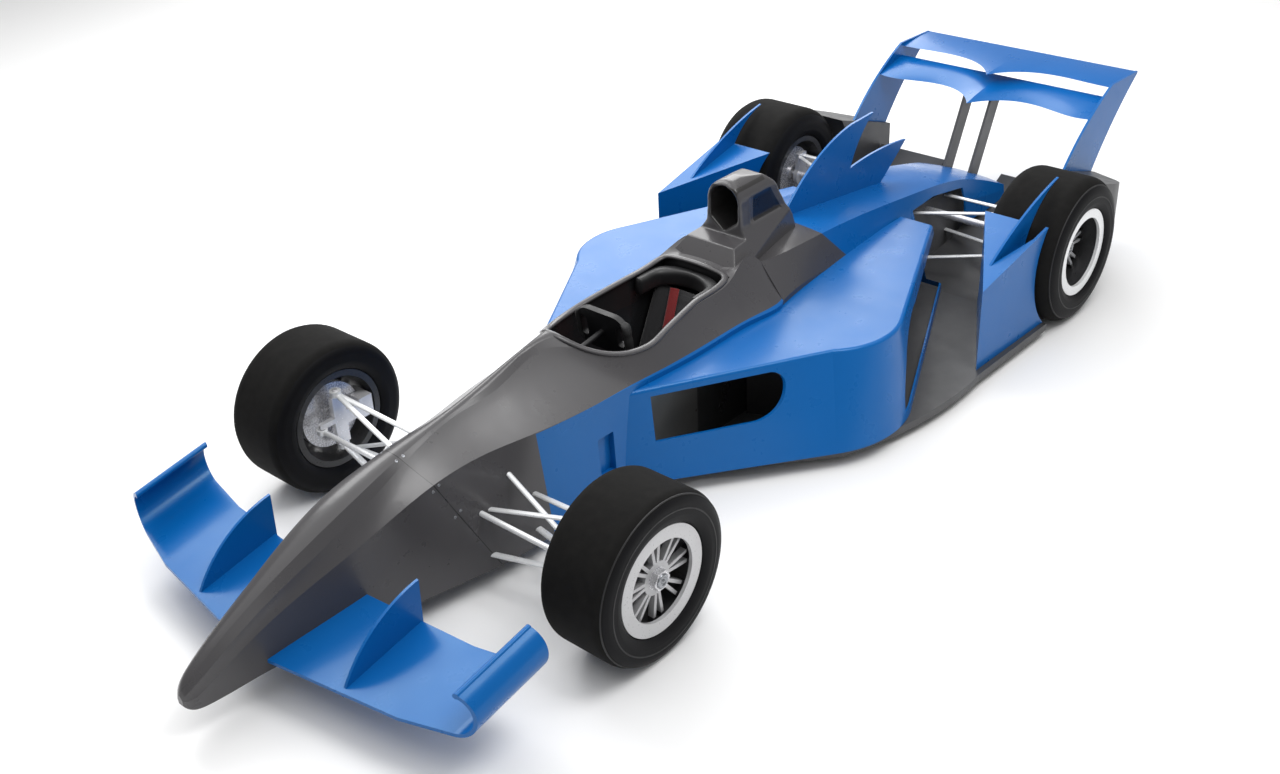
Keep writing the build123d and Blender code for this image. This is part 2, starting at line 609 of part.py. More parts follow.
# Rear wheel pods ahead of the rear tyres, each with a swept fin over a tapered groove
POD_FIN_Y = 843
POD_FIN_TOP = 716
REAR_POD_TOP = 602
REAR_POD_FRONT_TOP = 440
GROOVE_FLOOR = 470
ARCH_INSET = 114
with BuildPart() as rear_pod_left:
    plan = polygon(Plane.XY.offset(FLOOR_TOP), [
        (rear(830), 912), (rear(170), 936), (rear(170), 592), (rear(260), 592)])
    extrude(plan, amount=POD_FIN_TOP - FLOOR_TOP)
    side_view = polygon(Plane.XZ.offset(-REAR_INNER_Y + 114), [
        (rear(950), 0), (rear(950), REAR_POD_FRONT_TOP), (rear(150), REAR_POD_TOP), (rear(150), 0)])
    extrude(side_view, amount=-REAR_TYRE_WIDTH - 122, mode=Mode.INTERSECT)
    groove = polygon(Plane.XY.offset(GROOVE_FLOOR), [
        (rear(650), POD_FIN_Y), (rear(100), POD_FIN_Y), (rear(100), 924), (rear(400), 914)])
    extrude(groove, amount=POD_FIN_TOP - GROOVE_FLOOR, mode=Mode.SUBTRACT)
    with BuildSketch(Plane.XZ.offset(-POD_FIN_Y - FIN_THICK / 2)):
        with BuildLine():
            ThreePointArc((rear(700), GROOVE_FLOOR), (rear(410), 622), (rear(70), POD_FIN_TOP))
            Polyline((rear(70), POD_FIN_TOP), (rear(200), 560), (rear(250), GROOVE_FLOOR - 10),
                     (rear(700), GROOVE_FLOOR - 10), (rear(700), GROOVE_FLOOR))
        make_face()
    extrude(amount=FIN_THICK)
    with BuildSketch(Plane.XZ.offset(-REAR_INNER_Y + ARCH_INSET)):
        with Locations((REAR_AXLE_X, REAR_TYRE_RADIUS)):
            Circle(REAR_TYRE_RADIUS + TYRE_ROOM)
    extrude(amount=-REAR_TYRE_WIDTH - ARCH_INSET, mode=Mode.SUBTRACT)
save_pair(rear_pod_left, "rear_pod")

# Rear bumpers behind the rear tyres, beside the ramps
BUMPER_INNER = DIFFUSER_OUTER + PANEL_THICK / 2
BUMPER_OUTER = 900
BUMPER_BOTTOM = 200
SLOPE_FRONT = (rear(-450), 515)
SLOPE_REAR = (rear(-800), 395)
with BuildPart() as rear_bumper_left:
    with BuildSketch(Plane.XY.offset(BUMPER_BOTTOM)):
        with BuildLine():
            Polyline((rear(-430), BUMPER_OUTER), (rear(-250), BUMPER_OUTER), (rear(-250), BUMPER_INNER),
                     (rear(-790), BUMPER_INNER), (rear(-800), BUMPER_INNER + 60),
                     (rear(-640), BUMPER_OUTER - 80))
            ThreePointArc((rear(-640), BUMPER_OUTER - 80), (rear(-560), BUMPER_OUTER - 24),
                          (rear(-430), BUMPER_OUTER))
        make_face()
    extrude(amount=400)
    slope = (SLOPE_REAR[1] - SLOPE_FRONT[1]) / (SLOPE_REAR[0] - SLOPE_FRONT[0])
    fore = rear(-200)
    aft = rear(-900)
    below_slope = polygon(Plane.XZ.offset(-500), [
        (fore, 100), (fore, SLOPE_FRONT[1] + slope * (fore - SLOPE_FRONT[0])),
        (aft, SLOPE_FRONT[1] + slope * (aft - SLOPE_FRONT[0])), (aft, 100)])
    extrude(below_slope, amount=-500, mode=Mode.INTERSECT)
    with BuildSketch(Plane.XZ.offset(-500)):
        with Locations((REAR_AXLE_X, REAR_TYRE_RADIUS)):
            Circle(REAR_TYRE_RADIUS + TYRE_ROOM)
    extrude(amount=-600, mode=Mode.SUBTRACT)
save_pair(rear_bumper_left, "rear_bumper")

# Rear wing: two endplates, a main plane and a flap, both drawn forward at the middle
SpanRow = namedtuple("SpanRow", "y leading_x leading_z trailing_x trailing_z thick")
TAIL_X = rear(-TAIL_OVERHANG)
SPAN = ENDPLATE_Y - ENDPLATE_THICK / 2
MAIN_Z = 697
FLAP_Z = 797
MAIN_TAIL_X = rear(-942)
MAIN_TAIL_Z = MAIN_Z + 42
FLAP_TAIL_Z = FLAP_Z + 6
REAR_MAIN = [
    SpanRow(0, rear(-578), MAIN_Z, MAIN_TAIL_X, MAIN_TAIL_Z, 34),
    SpanRow(60, rear(-660), MAIN_Z, MAIN_TAIL_X, MAIN_TAIL_Z, 34),
    SpanRow(130, rear(-716), MAIN_Z, MAIN_TAIL_X, MAIN_TAIL_Z, 32),
    SpanRow(300, rear(-748), MAIN_Z, MAIN_TAIL_X, MAIN_TAIL_Z, 32),
    SpanRow(SPAN, rear(-712), MAIN_Z, MAIN_TAIL_X, MAIN_TAIL_Z, 32)]
REAR_FLAP = [
    SpanRow(0, rear(-765), FLAP_Z, TAIL_X, FLAP_TAIL_Z, 24),
    SpanRow(60, rear(-845), FLAP_Z, TAIL_X, FLAP_TAIL_Z, 24),
    SpanRow(130, rear(-900), FLAP_Z, TAIL_X, FLAP_TAIL_Z, 22),
    SpanRow(300, rear(-948), FLAP_Z, TAIL_X, FLAP_TAIL_Z, 22),
    SpanRow(SPAN, rear(-934), FLAP_Z, TAIL_X, FLAP_TAIL_Z, 22)]
TRAILING_EDGE = 5


def wing_section(row):
    """One thin curved section of a wing element, along the car."""
    with BuildSketch(Plane.XZ.offset(-row.y)) as section:
        with BuildLine():
            nose_point = (row.leading_x, row.leading_z)
            upper = (row.trailing_x, row.trailing_z + TRAILING_EDGE / 2)
            lower = (row.trailing_x, row.trailing_z - TRAILING_EDGE / 2)
            middle_x = (row.leading_x * 2 + row.trailing_x) / 3
            middle_z = (row.leading_z * 2 + row.trailing_z) / 3
            ThreePointArc(nose_point, (middle_x, middle_z + row.thick * 0.25), upper)
            Line(upper, lower)
            ThreePointArc(lower, (middle_x, middle_z - row.thick * 0.75), nose_point)
        make_face()
    return section.sketch


with BuildPart() as rear_wing_main:
    loft([wing_section(row) for row in REAR_MAIN])
    mirror(about=Plane.XZ)
save(rear_wing_main, "rear_wing_main")

with BuildPart() as rear_wing_flap:
    loft([wing_section(row) for row in REAR_FLAP])
    mirror(about=Plane.XZ)
save(rear_wing_flap, "rear_wing_flap")

with BuildPart() as rear_wing_endplate_left:
    with BuildSketch(Plane.XZ.offset(-ENDPLATE_Y - ENDPLATE_THICK / 2)):
        with BuildLine():
            foot_front = (rear(-473), SLOPE_FRONT[1] + slope * (rear(-473) - SLOPE_FRONT[0]))
            foot_rear = (rear(-792), SLOPE_FRONT[1] + slope * (rear(-792) - SLOPE_FRONT[0]))
            ThreePointArc(foot_front, (rear(-709), 702), (rear(-926), 817))
            Polyline((rear(-926), 817), (TAIL_X, 808), (TAIL_X, FLAP_Z))
            ThreePointArc((TAIL_X, FLAP_Z), (rear(-985), 610), foot_rear)
            Line(foot_rear, foot_front)
        make_face()
    extrude(amount=ENDPLATE_THICK)
save_pair(rear_wing_endplate_left, "rear_wing_endplate")

with BuildPart() as rear_wing_pylons:
    add(pylon_form.part)
    add(rear_wing_main.part, mode=Mode.SUBTRACT)
    add(gearbox.part, mode=Mode.SUBTRACT)
save(rear_wing_pylons, "rear_wing_pylons")

# Seat and headrest in the cockpit, both against its rear wall
SEAT_HALF = 170
SEAT_TOP = 550
SEAT_PAN = 165
REAR_WALL_X = front(COCKPIT_REAR_X)
with BuildPart() as seat:
    with BuildSketch(Plane.XZ.offset(-SEAT_HALF)):
        with BuildLine():
            pan_rear = (REAR_WALL_X + 340, SEAT_PAN)
            back_foot = (REAR_WALL_X + 210, SEAT_PAN + 65)
            Polyline((REAR_WALL_X, COCKPIT_FLOOR), (REAR_WALL_X, SEAT_TOP),
                     (REAR_WALL_X + 45, SEAT_TOP), back_foot)
            ThreePointArc(back_foot, (REAR_WALL_X + 260, SEAT_PAN + 8), pan_rear)
            Polyline(pan_rear, (REAR_WALL_X + 500, SEAT_PAN + 30), (REAR_WALL_X + 540, SEAT_PAN + 20),
                     (REAR_WALL_X + 540, COCKPIT_FLOOR), (REAR_WALL_X, COCKPIT_FLOOR))
        make_face()
    extrude(amount=2 * SEAT_HALF)
save(seat, "seat")

HEADREST_BOTTOM = 555
HEADREST_TOP = 632
HEADREST_REACH = 215
HEADREST_INNER = 128
with BuildPart() as headrest:
    with BuildSketch(Plane.XY.offset(HEADREST_BOTTOM)):
        with BuildLine():
            arm_tip = REAR_WALL_X + HEADREST_REACH
            bend = REAR_WALL_X + 110
            Polyline((arm_tip - 25, HEADREST_INNER), (arm_tip, COCKPIT_NECK_HALF),
                     (REAR_WALL_X, COCKPIT_NECK_HALF),
                     (REAR_WALL_X, -COCKPIT_NECK_HALF), (arm_tip, -COCKPIT_NECK_HALF),
                     (arm_tip - 25, -HEADREST_INNER), (bend, -HEADREST_INNER))
            ThreePointArc((bend, -HEADREST_INNER), (REAR_WALL_X + 36, 0), (bend, HEADREST_INNER))
            Line((bend, HEADREST_INNER), (arm_tip - 25, HEADREST_INNER))
        make_face()
    extrude(amount=HEADREST_TOP - HEADREST_BOTTOM)
save(headrest, "headrest")

# Steering wheel with its column
with BuildPart() as steering_wheel:
    with BuildSketch(STEER_AXIS):
        RectangleRounded(STEERING_WHEEL_WIDTH, STEERING_WHEEL_HEIGHT, 70)
        with Locations((95, 0), (-95, 0)):
            RectangleRounded(34, 90, 15, mode=Mode.SUBTRACT)
    extrude(amount=STEERING_WHEEL_THICK)
    with BuildSketch(STEER_AXIS):
        Circle(COLUMN_RADIUS)
    extrude(amount=COLUMN_LENGTH)
save(steering_wheel, "steering_wheel")

# Front suspension: arms end in eyes round the kingpins
KINGPIN_Y = FRONT_OUTER_Y - FRONT_TYRE_WIDTH + KINGPIN_INSET
UPPER_EYE_Z = FRONT_TYRE_RADIUS + UPPER_EYE_RISE
LOWER_EYE_Z = FRONT_TYRE_RADIUS - LOWER_EYE_DROP
EYE_RADIUS = KINGPIN_RADIUS + EYE_WALL
ArmRow = namedtuple("ArmRow", "inner_x inner_y inner_z eye_z half_chord half_thick")
FRONT_ARMS = [
    ArmRow(55, 150, UPPER_EYE_Z - 150, UPPER_EYE_Z, 12, 7),
    ArmRow(-170, 150, UPPER_EYE_Z - 190, UPPER_EYE_Z, 12, 7),
    ArmRow(95, 150, LOWER_EYE_Z - 82, LOWER_EYE_Z, 15, 7),
    ArmRow(-160, 150, LOWER_EYE_Z - 82, LOWER_EYE_Z, 15, 7),
]
with BuildPart() as front_arms_left:
    for row in FRONT_ARMS:
        rod((front(row.inner_x), row.inner_y, row.inner_z), (FRONT_AXLE_X, KINGPIN_Y, row.eye_z),
            row.half_chord, row.half_thick)
    # A push rod rises from the lower eye to the cell
    rod((front(-60), 190, UPPER_EYE_Z - 40), (front(-8), KINGPIN_Y - 55, LOWER_EYE_Z), 11, 8)
    for eye_z in (UPPER_EYE_Z, LOWER_EYE_Z):
        with BuildSketch(Plane.XY.offset(eye_z - EYE_HEIGHT / 2)):
            with Locations((FRONT_AXLE_X, KINGPIN_Y)):
                Circle(EYE_RADIUS)
        extrude(amount=EYE_HEIGHT)
    with BuildSketch(Plane.XY):
        with Locations((FRONT_AXLE_X, KINGPIN_Y)):
            Circle(KINGPIN_RADIUS + RUNNING_FIT)
    extrude(amount=CELL_TOP, mode=Mode.SUBTRACT)
    add(hull.part, mode=Mode.SUBTRACT)
save_pair(front_arms_left, "front_arms")

POST_BOTTOM = LOWER_EYE_Z + EYE_HEIGHT / 2 + RUNNING_FIT
POST_TOP = UPPER_EYE_Z - EYE_HEIGHT / 2 - RUNNING_FIT
PIN_OVERRUN = 6


def wheel_plane(axle_x, inner_y, radius):
    """A plane through a wheel's axis: distance outward from its inner face, then radius."""
    return Plane(origin=(axle_x, inner_y, radius), x_dir=(0, 1, 0), z_dir=(1, 0, 0))


def side_plane(axle_x, y, z):
    """A plane facing outward at one depth of a wheel."""
    return Plane(origin=(axle_x, y, z), x_dir=(1, 0, 0), z_dir=(0, 1, 0))


FRONT_WHEEL = wheel_plane(FRONT_AXLE_X, FRONT_INNER_Y, FRONT_TYRE_RADIUS)
REAR_WHEEL = wheel_plane(REAR_AXLE_X, REAR_INNER_Y, REAR_TYRE_RADIUS)
SPINDLE_END = 180


def caliper(axle_x, inner_y, axle_z):
    """A brake caliper behind the axle, slotted for its disc, with the web that carries it."""
    start = inner_y + KINGPIN_INSET - POST_THICK / 2
    with BuildPart() as block:
        with BuildSketch(side_plane(axle_x, start, axle_z)):
            with Locations((-(CALIPER_INNER + CALIPER_OUTER) / 2, 0)):
                Rectangle(CALIPER_OUTER - CALIPER_INNER, 2 * CALIPER_HALF_HEIGHT)
        extrude(amount=CALIPER_WIDTH)
        with BuildSketch(side_plane(axle_x, start, axle_z)):
            with Locations((-CALIPER_INNER / 2 - 5, 0)):
                Rectangle(CALIPER_INNER + 10, 60)
        extrude(amount=POST_THICK)
        with BuildSketch(side_plane(axle_x, inner_y + DISC_START - CALIPER_ROOM, axle_z)):
            Circle(DISC_RADIUS + CALIPER_ROOM)
        extrude(amount=DISC_THICK + 2 * CALIPER_ROOM, mode=Mode.SUBTRACT)
    return block.part


front_caliper = caliper(FRONT_AXLE_X, FRONT_INNER_Y, FRONT_TYRE_RADIUS)
rear_caliper = caliper(REAR_AXLE_X, REAR_INNER_Y, REAR_TYRE_RADIUS)

with BuildPart() as front_upright_left:
    add(front_caliper)
    with BuildSketch(Plane.XY.offset(POST_BOTTOM)):
        with Locations((FRONT_AXLE_X, KINGPIN_Y)):
            Rectangle(2 * POST_HALF_X, POST_THICK)
    extrude(amount=POST_TOP - POST_BOTTOM)
    # The kingpins above and below, and the spindle
    with BuildSketch(Plane.XY.offset(LOWER_EYE_Z - EYE_HEIGHT / 2 - PIN_OVERRUN)):
        with Locations((FRONT_AXLE_X, KINGPIN_Y)):
            Circle(KINGPIN_RADIUS)
    extrude(amount=UPPER_EYE_Z - LOWER_EYE_Z + EYE_HEIGHT + 2 * PIN_OVERRUN)
    with BuildSketch(side_plane(FRONT_AXLE_X, KINGPIN_Y, FRONT_TYRE_RADIUS)):
        Circle(SPINDLE_RADIUS)
    extrude(amount=SPINDLE_END - KINGPIN_INSET)
    # The steering arm with its pin
    arm_bottom = TIE_ROD_Z + STEER_ARM_HEIGHT / 2
    with BuildSketch(Plane.XY.offset(arm_bottom)):
        with Locations((front(STEER_ARM / 2), KINGPIN_Y)):
            SlotCenterToCenter(STEER_ARM, POST_THICK)
    extrude(amount=STEER_ARM_HEIGHT)
    with BuildSketch(Plane.XY.offset(arm_bottom - STEER_ARM_HEIGHT)):
        with Locations((TIE_ROD_X, KINGPIN_Y)):
            Circle(STEER_PIN_RADIUS)
    extrude(amount=STEER_ARM_HEIGHT)
save_pair(front_upright_left, "front_upright")

# Steering rack: one bar through the cell with an eye at each end
ROD_EYE_INNER = STEER_PIN_RADIUS + ROD_EYE_ROOM
ROD_EYE_OUTER = ROD_EYE_INNER + ROD_EYE_WALL
ROD_EYE_HEIGHT = STEER_ARM_HEIGHT - 2
with BuildPart() as steering_rack:
    with BuildSketch(Plane.XZ.offset(-KINGPIN_Y)):
        with Locations((TIE_ROD_X, TIE_ROD_Z)):
            Circle(TIE_ROD_RADIUS)
    extrude(amount=2 * KINGPIN_Y)
    for side in (1, -1):
        with BuildSketch(Plane.XY.offset(TIE_ROD_Z - ROD_EYE_HEIGHT / 2)):
            with Locations((TIE_ROD_X, side * KINGPIN_Y)):
                Circle(ROD_EYE_OUTER)
        extrude(amount=ROD_EYE_HEIGHT)
        with BuildSketch(Plane.XY):
            with Locations((TIE_ROD_X, side * KINGPIN_Y)):
                Circle(ROD_EYE_INNER)
        extrude(amount=CELL_TOP, mode=Mode.SUBTRACT)
save(steering_rack, "steering_rack")

# Rear suspension: uprights held by arms from the gearbox
REAR_POST_Y = REAR_INNER_Y + KINGPIN_INSET
BEARING_RADIUS = 52
REAR_POST_RISE = 125
REAR_POST_HALF = 34
with BuildPart() as rear_upright_left:
    add(rear_caliper)
    with BuildSketch(side_plane(REAR_AXLE_X, REAR_POST_Y - POST_THICK / 2, REAR_TYRE_RADIUS)):
        Rectangle(2 * REAR_POST_HALF, 2 * REAR_POST_RISE)
        Circle(BEARING_RADIUS)
    extrude(amount=POST_THICK)
    with BuildSketch(side_plane(REAR_AXLE_X, REAR_POST_Y - POST_THICK / 2, REAR_TYRE_RADIUS)):
        Circle(SHAFT_RADIUS + RUNNING_FIT)
    extrude(amount=POST_THICK, mode=Mode.SUBTRACT)
save_pair(rear_upright_left, "rear_upright")

RearArmRow = namedtuple("RearArmRow", "inner_x inner_y inner_z outer_x outer_z half_chord half_thick")
REAR_ARMS = [
    RearArmRow(190, 110, REAR_TYRE_RADIUS + 45, 15, REAR_TYRE_RADIUS + 108, 12, 7),
    RearArmRow(-200, 100, REAR_TYRE_RADIUS + 5, -15, REAR_TYRE_RADIUS + 108, 12, 7),
    RearArmRow(200, 110, 150, 15, REAR_TYRE_RADIUS - 107, 13, 7),
    RearArmRow(-230, 100, 150, -15, REAR_TYRE_RADIUS - 107, 13, 7),
]
with BuildPart() as rear_arms_left:
    for row in REAR_ARMS:
        rod((rear(row.inner_x), row.inner_y, row.inner_z), (rear(row.outer_x), REAR_POST_Y, row.outer_z),
            row.half_chord, row.half_thick)
    add(gearbox.part, mode=Mode.SUBTRACT)
    add(rear_upright_left.part, mode=Mode.SUBTRACT)
save_pair(rear_arms_left, "rear_arms")


def tyre(plane, width, radius, shoulder):
    """A tyre: a ring on the rim's barrel with upright walls and round shoulders."""
    bead = FLANGE_INSET + FLANGE_THICK
    wall_foot = (FLANGE_INSET - 3, FLANGE_RADIUS + 5)
    shoulder = min(shoulder, (radius - wall_foot[1]) * SHOULDER_LIMIT)
    wall_top = (0, (wall_foot[1] + radius - shoulder) / 2)
    corner = shoulder * (1 - math.sqrt(0.5))
    with BuildPart() as ring:
        with BuildSketch(plane):
            with BuildLine():
                for face, way in ((0, 1), (width, -1)):
                    Polyline((face + way * bead, BARREL_RADIUS), (face + way * bead, FLANGE_RADIUS),
                             (face + way * wall_foot[0], wall_foot[1]))
                    ThreePointArc((face + way * wall_foot[0], wall_foot[1]),
                                  (face + way * wall_foot[0] * 0.3, (wall_foot[1] + wall_top[1]) / 2),
                                  (face, wall_top[1]))
                    Line((face, wall_top[1]), (face, radius - shoulder))
                    ThreePointArc((face, radius - shoulder), (face + way * corner, radius - corner),
                                  (face + way * shoulder, radius))
                Line((bead, BARREL_RADIUS), (width - bead, BARREL_RADIUS))
                Line((shoulder, radius), (width - shoulder, radius))
            make_face()
        revolve(axis=Axis(plane.origin, (0, 1, 0)))
    return ring


front_tyre_left = tyre(FRONT_WHEEL, FRONT_TYRE_WIDTH, FRONT_TYRE_RADIUS, FRONT_SHOULDER)
save_pair(front_tyre_left, "front_tyre")
rear_tyre_left = tyre(REAR_WHEEL, REAR_TYRE_WIDTH, REAR_TYRE_RADIUS, REAR_SHOULDER)
save_pair(rear_tyre_left, "rear_tyre")


def rim(plane, width, lip_radius, dish):
    """A rim: barrel, two flanges, a flat outer lip, and twin spokes round a bored centre."""
    start = FLANGE_INSET
    end = width - FLANGE_INSET
    barrel_inner = BARREL_RADIUS - BARREL_WALL
    reach = BARREL_RADIUS - BARREL_WALL / 2
    spoke_length = reach - RIM_CENTRE_RADIUS + 10
    hub_face = plane.origin.Y + end - dish - RIM_CENTRE_THICK
    with BuildPart() as wheel:
        with BuildSketch(plane):
            with BuildLine():
                Polyline((start, FLANGE_RADIUS), (start + FLANGE_THICK, FLANGE_RADIUS),
                         (start + FLANGE_THICK, BARREL_RADIUS), (end - FLANGE_THICK, BARREL_RADIUS),
                         (end - FLANGE_THICK, FLANGE_RADIUS), (end, FLANGE_RADIUS), (end, lip_radius),
                         (end - RIM_FACE_THICK, lip_radius), (end - RIM_FACE_THICK, barrel_inner),
                         (start, barrel_inner), close=True)
            make_face()
        revolve(axis=Axis(plane.origin, (0, 1, 0)))
        with BuildSketch(side_plane(plane.origin.X, hub_face, plane.origin.Z)):
            for lean in (-SPOKE_PAIR_ANGLE / 2, SPOKE_PAIR_ANGLE / 2):
                with PolarLocations(reach - spoke_length / 2, SPOKE_PAIRS, start_angle=lean):
                    Rectangle(spoke_length, SPOKE_WIDTH)
            Circle(RIM_CENTRE_RADIUS)
            Circle(HUB_RADIUS, mode=Mode.SUBTRACT)
        extrude(amount=SPOKE_THICK)
    return wheel


front_rim_left = rim(FRONT_WHEEL, FRONT_TYRE_WIDTH, FRONT_LIP_RADIUS, FRONT_DISH)
save_pair(front_rim_left, "front_rim")
rear_rim_left = rim(REAR_WHEEL, REAR_TYRE_WIDTH, REAR_LIP_RADIUS, REAR_DISH)
save_pair(rear_rim_left, "rear_rim")


def hub(plane, width, dish):
    """A hub: a sleeve that carries the brake disc and the rim, closed by its wheel nut."""
    seat_out = width - FLANGE_INSET - dish
    with BuildPart() as sleeve:
        with BuildSketch(plane):
            with BuildLine():
                Polyline((HUB_START, 0), (HUB_START, HUB_RADIUS), (DISC_START, HUB_RADIUS),
                         (DISC_START, DISC_RADIUS), (DISC_START + DISC_THICK, DISC_RADIUS),
                         (DISC_START + DISC_THICK, HUB_RADIUS), (seat_out, HUB_RADIUS), (seat_out, 0),
                         close=True)
            make_face()
        revolve(axis=Axis(plane.origin, (0, 1, 0)))
        with BuildSketch(side_plane(plane.origin.X, plane.origin.Y + seat_out, plane.origin.Z)):
            RegularPolygon(NUT_RADIUS, 6)
        extrude(amount=NUT_LENGTH)
    return sleeve.part


front_sleeve = hub(FRONT_WHEEL, FRONT_TYRE_WIDTH, FRONT_DISH)
with BuildPart() as front_hub_left:
    add(front_sleeve)
    with BuildSketch(side_plane(FRONT_AXLE_X, FRONT_INNER_Y, FRONT_TYRE_RADIUS)):
        Circle(SPINDLE_RADIUS + RUNNING_FIT)
    extrude(amount=SPINDLE_END + RUNNING_FIT, mode=Mode.SUBTRACT)
save_pair(front_hub_left, "front_hub")

SHAFT_INNER_Y = 90
rear_sleeve = hub(REAR_WHEEL, REAR_TYRE_WIDTH, REAR_DISH)
with BuildPart() as rear_hub_left:
    add(rear_sleeve)
    with BuildSketch(side_plane(REAR_AXLE_X, SHAFT_INNER_Y, REAR_TYRE_RADIUS)):
        Circle(SHAFT_RADIUS)
    extrude(amount=REAR_INNER_Y + HUB_START - SHAFT_INNER_Y)
save_pair(rear_hub_left, "rear_hub")
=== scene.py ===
import bmesh
import bpy
import json
import math
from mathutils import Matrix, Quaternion, Vector
from mathutils.bvhtree import BVHTree


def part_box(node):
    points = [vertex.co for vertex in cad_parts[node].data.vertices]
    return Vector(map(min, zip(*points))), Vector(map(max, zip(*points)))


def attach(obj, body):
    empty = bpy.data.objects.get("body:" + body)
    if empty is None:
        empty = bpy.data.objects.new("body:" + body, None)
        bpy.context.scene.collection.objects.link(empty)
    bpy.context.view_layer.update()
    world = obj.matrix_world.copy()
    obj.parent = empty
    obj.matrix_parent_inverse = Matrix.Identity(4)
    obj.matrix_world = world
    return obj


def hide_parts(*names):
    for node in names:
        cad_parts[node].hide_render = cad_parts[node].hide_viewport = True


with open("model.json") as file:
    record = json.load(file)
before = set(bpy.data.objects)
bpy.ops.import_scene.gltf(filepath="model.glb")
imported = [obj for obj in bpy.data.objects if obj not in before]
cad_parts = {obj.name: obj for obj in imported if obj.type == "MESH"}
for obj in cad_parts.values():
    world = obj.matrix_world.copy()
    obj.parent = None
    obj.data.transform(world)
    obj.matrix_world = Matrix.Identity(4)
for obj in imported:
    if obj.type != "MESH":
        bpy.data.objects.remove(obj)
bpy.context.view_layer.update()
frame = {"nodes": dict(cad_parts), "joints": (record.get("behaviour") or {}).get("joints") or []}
NODES = frame["nodes"]
JOINTS = {joint["name"]: joint for joint in frame["joints"]}

# Places taken from the frame, in metres
FRONT_AXLE = Vector(JOINTS["steer_left"]["pos_m"])
REAR_AXLE = Vector(JOINTS["rear_spin_left"]["pos_m"])
FRONT_X = FRONT_AXLE.x
WHEEL_AXIS = Vector(JOINTS["steering_wheel_turn"]["axis"])
WHEEL_PLACE = Vector(JOINTS["steering_wheel_turn"]["pos_m"])

# Colours, linear
BLUE = (0.0015, 0.100, 0.350)
GREY = (0.056, 0.054, 0.057)
FLOOR_GREY = (0.050, 0.050, 0.052)
# Painted shade: near-black grey for deep in the side duct and in the hoop's intake throat
PAINTED_SHADE_GREY = (0.024, 0.023, 0.023)
DUCT_GREY = (0.075, 0.072, 0.070)
COCKPIT_BLACK = (0.014, 0.014, 0.015)
BLACK = (0.004, 0.004, 0.005)
GLASS = (0.006, 0.006, 0.008)
RUBBER = (0.005, 0.005, 0.006)
RED = (0.260, 0.005, 0.007)
SILVER = (0.78, 0.78, 0.80)
RIM_GREY = (0.50, 0.50, 0.51)
WHITE = (0.80, 0.81, 0.82)
DARK_METAL = (0.035, 0.035, 0.037)
FRONT_SPOKE = (0.42, 0.42, 0.43)
REAR_SPOKE = (0.55, 0.56, 0.58)
STEEL = (0.60, 0.60, 0.62)
CAP_ALLOY = (0.30, 0.31, 0.33)
CAST_GREY = (0.22, 0.22, 0.23)
PYLON_GREY = (0.060, 0.060, 0.064)
SEAT_BLACK = (0.014, 0.014, 0.016)
COLLAR_BLACK = (0.010, 0.010, 0.011)
GRIP_BLACK = (0.012, 0.012, 0.013)
DISPLAY_BLACK = (0.010, 0.012, 0.015)
RING_BLACK = (0.009, 0.009, 0.010)
TREAD_DARK = (0.004, 0.004, 0.004)
TREAD_LIGHT = (0.011, 0.0105, 0.010)
BUTTON_RED = (0.34, 0.012, 0.010)
STUDIO_WHITE = (0.86, 0.86, 0.86)


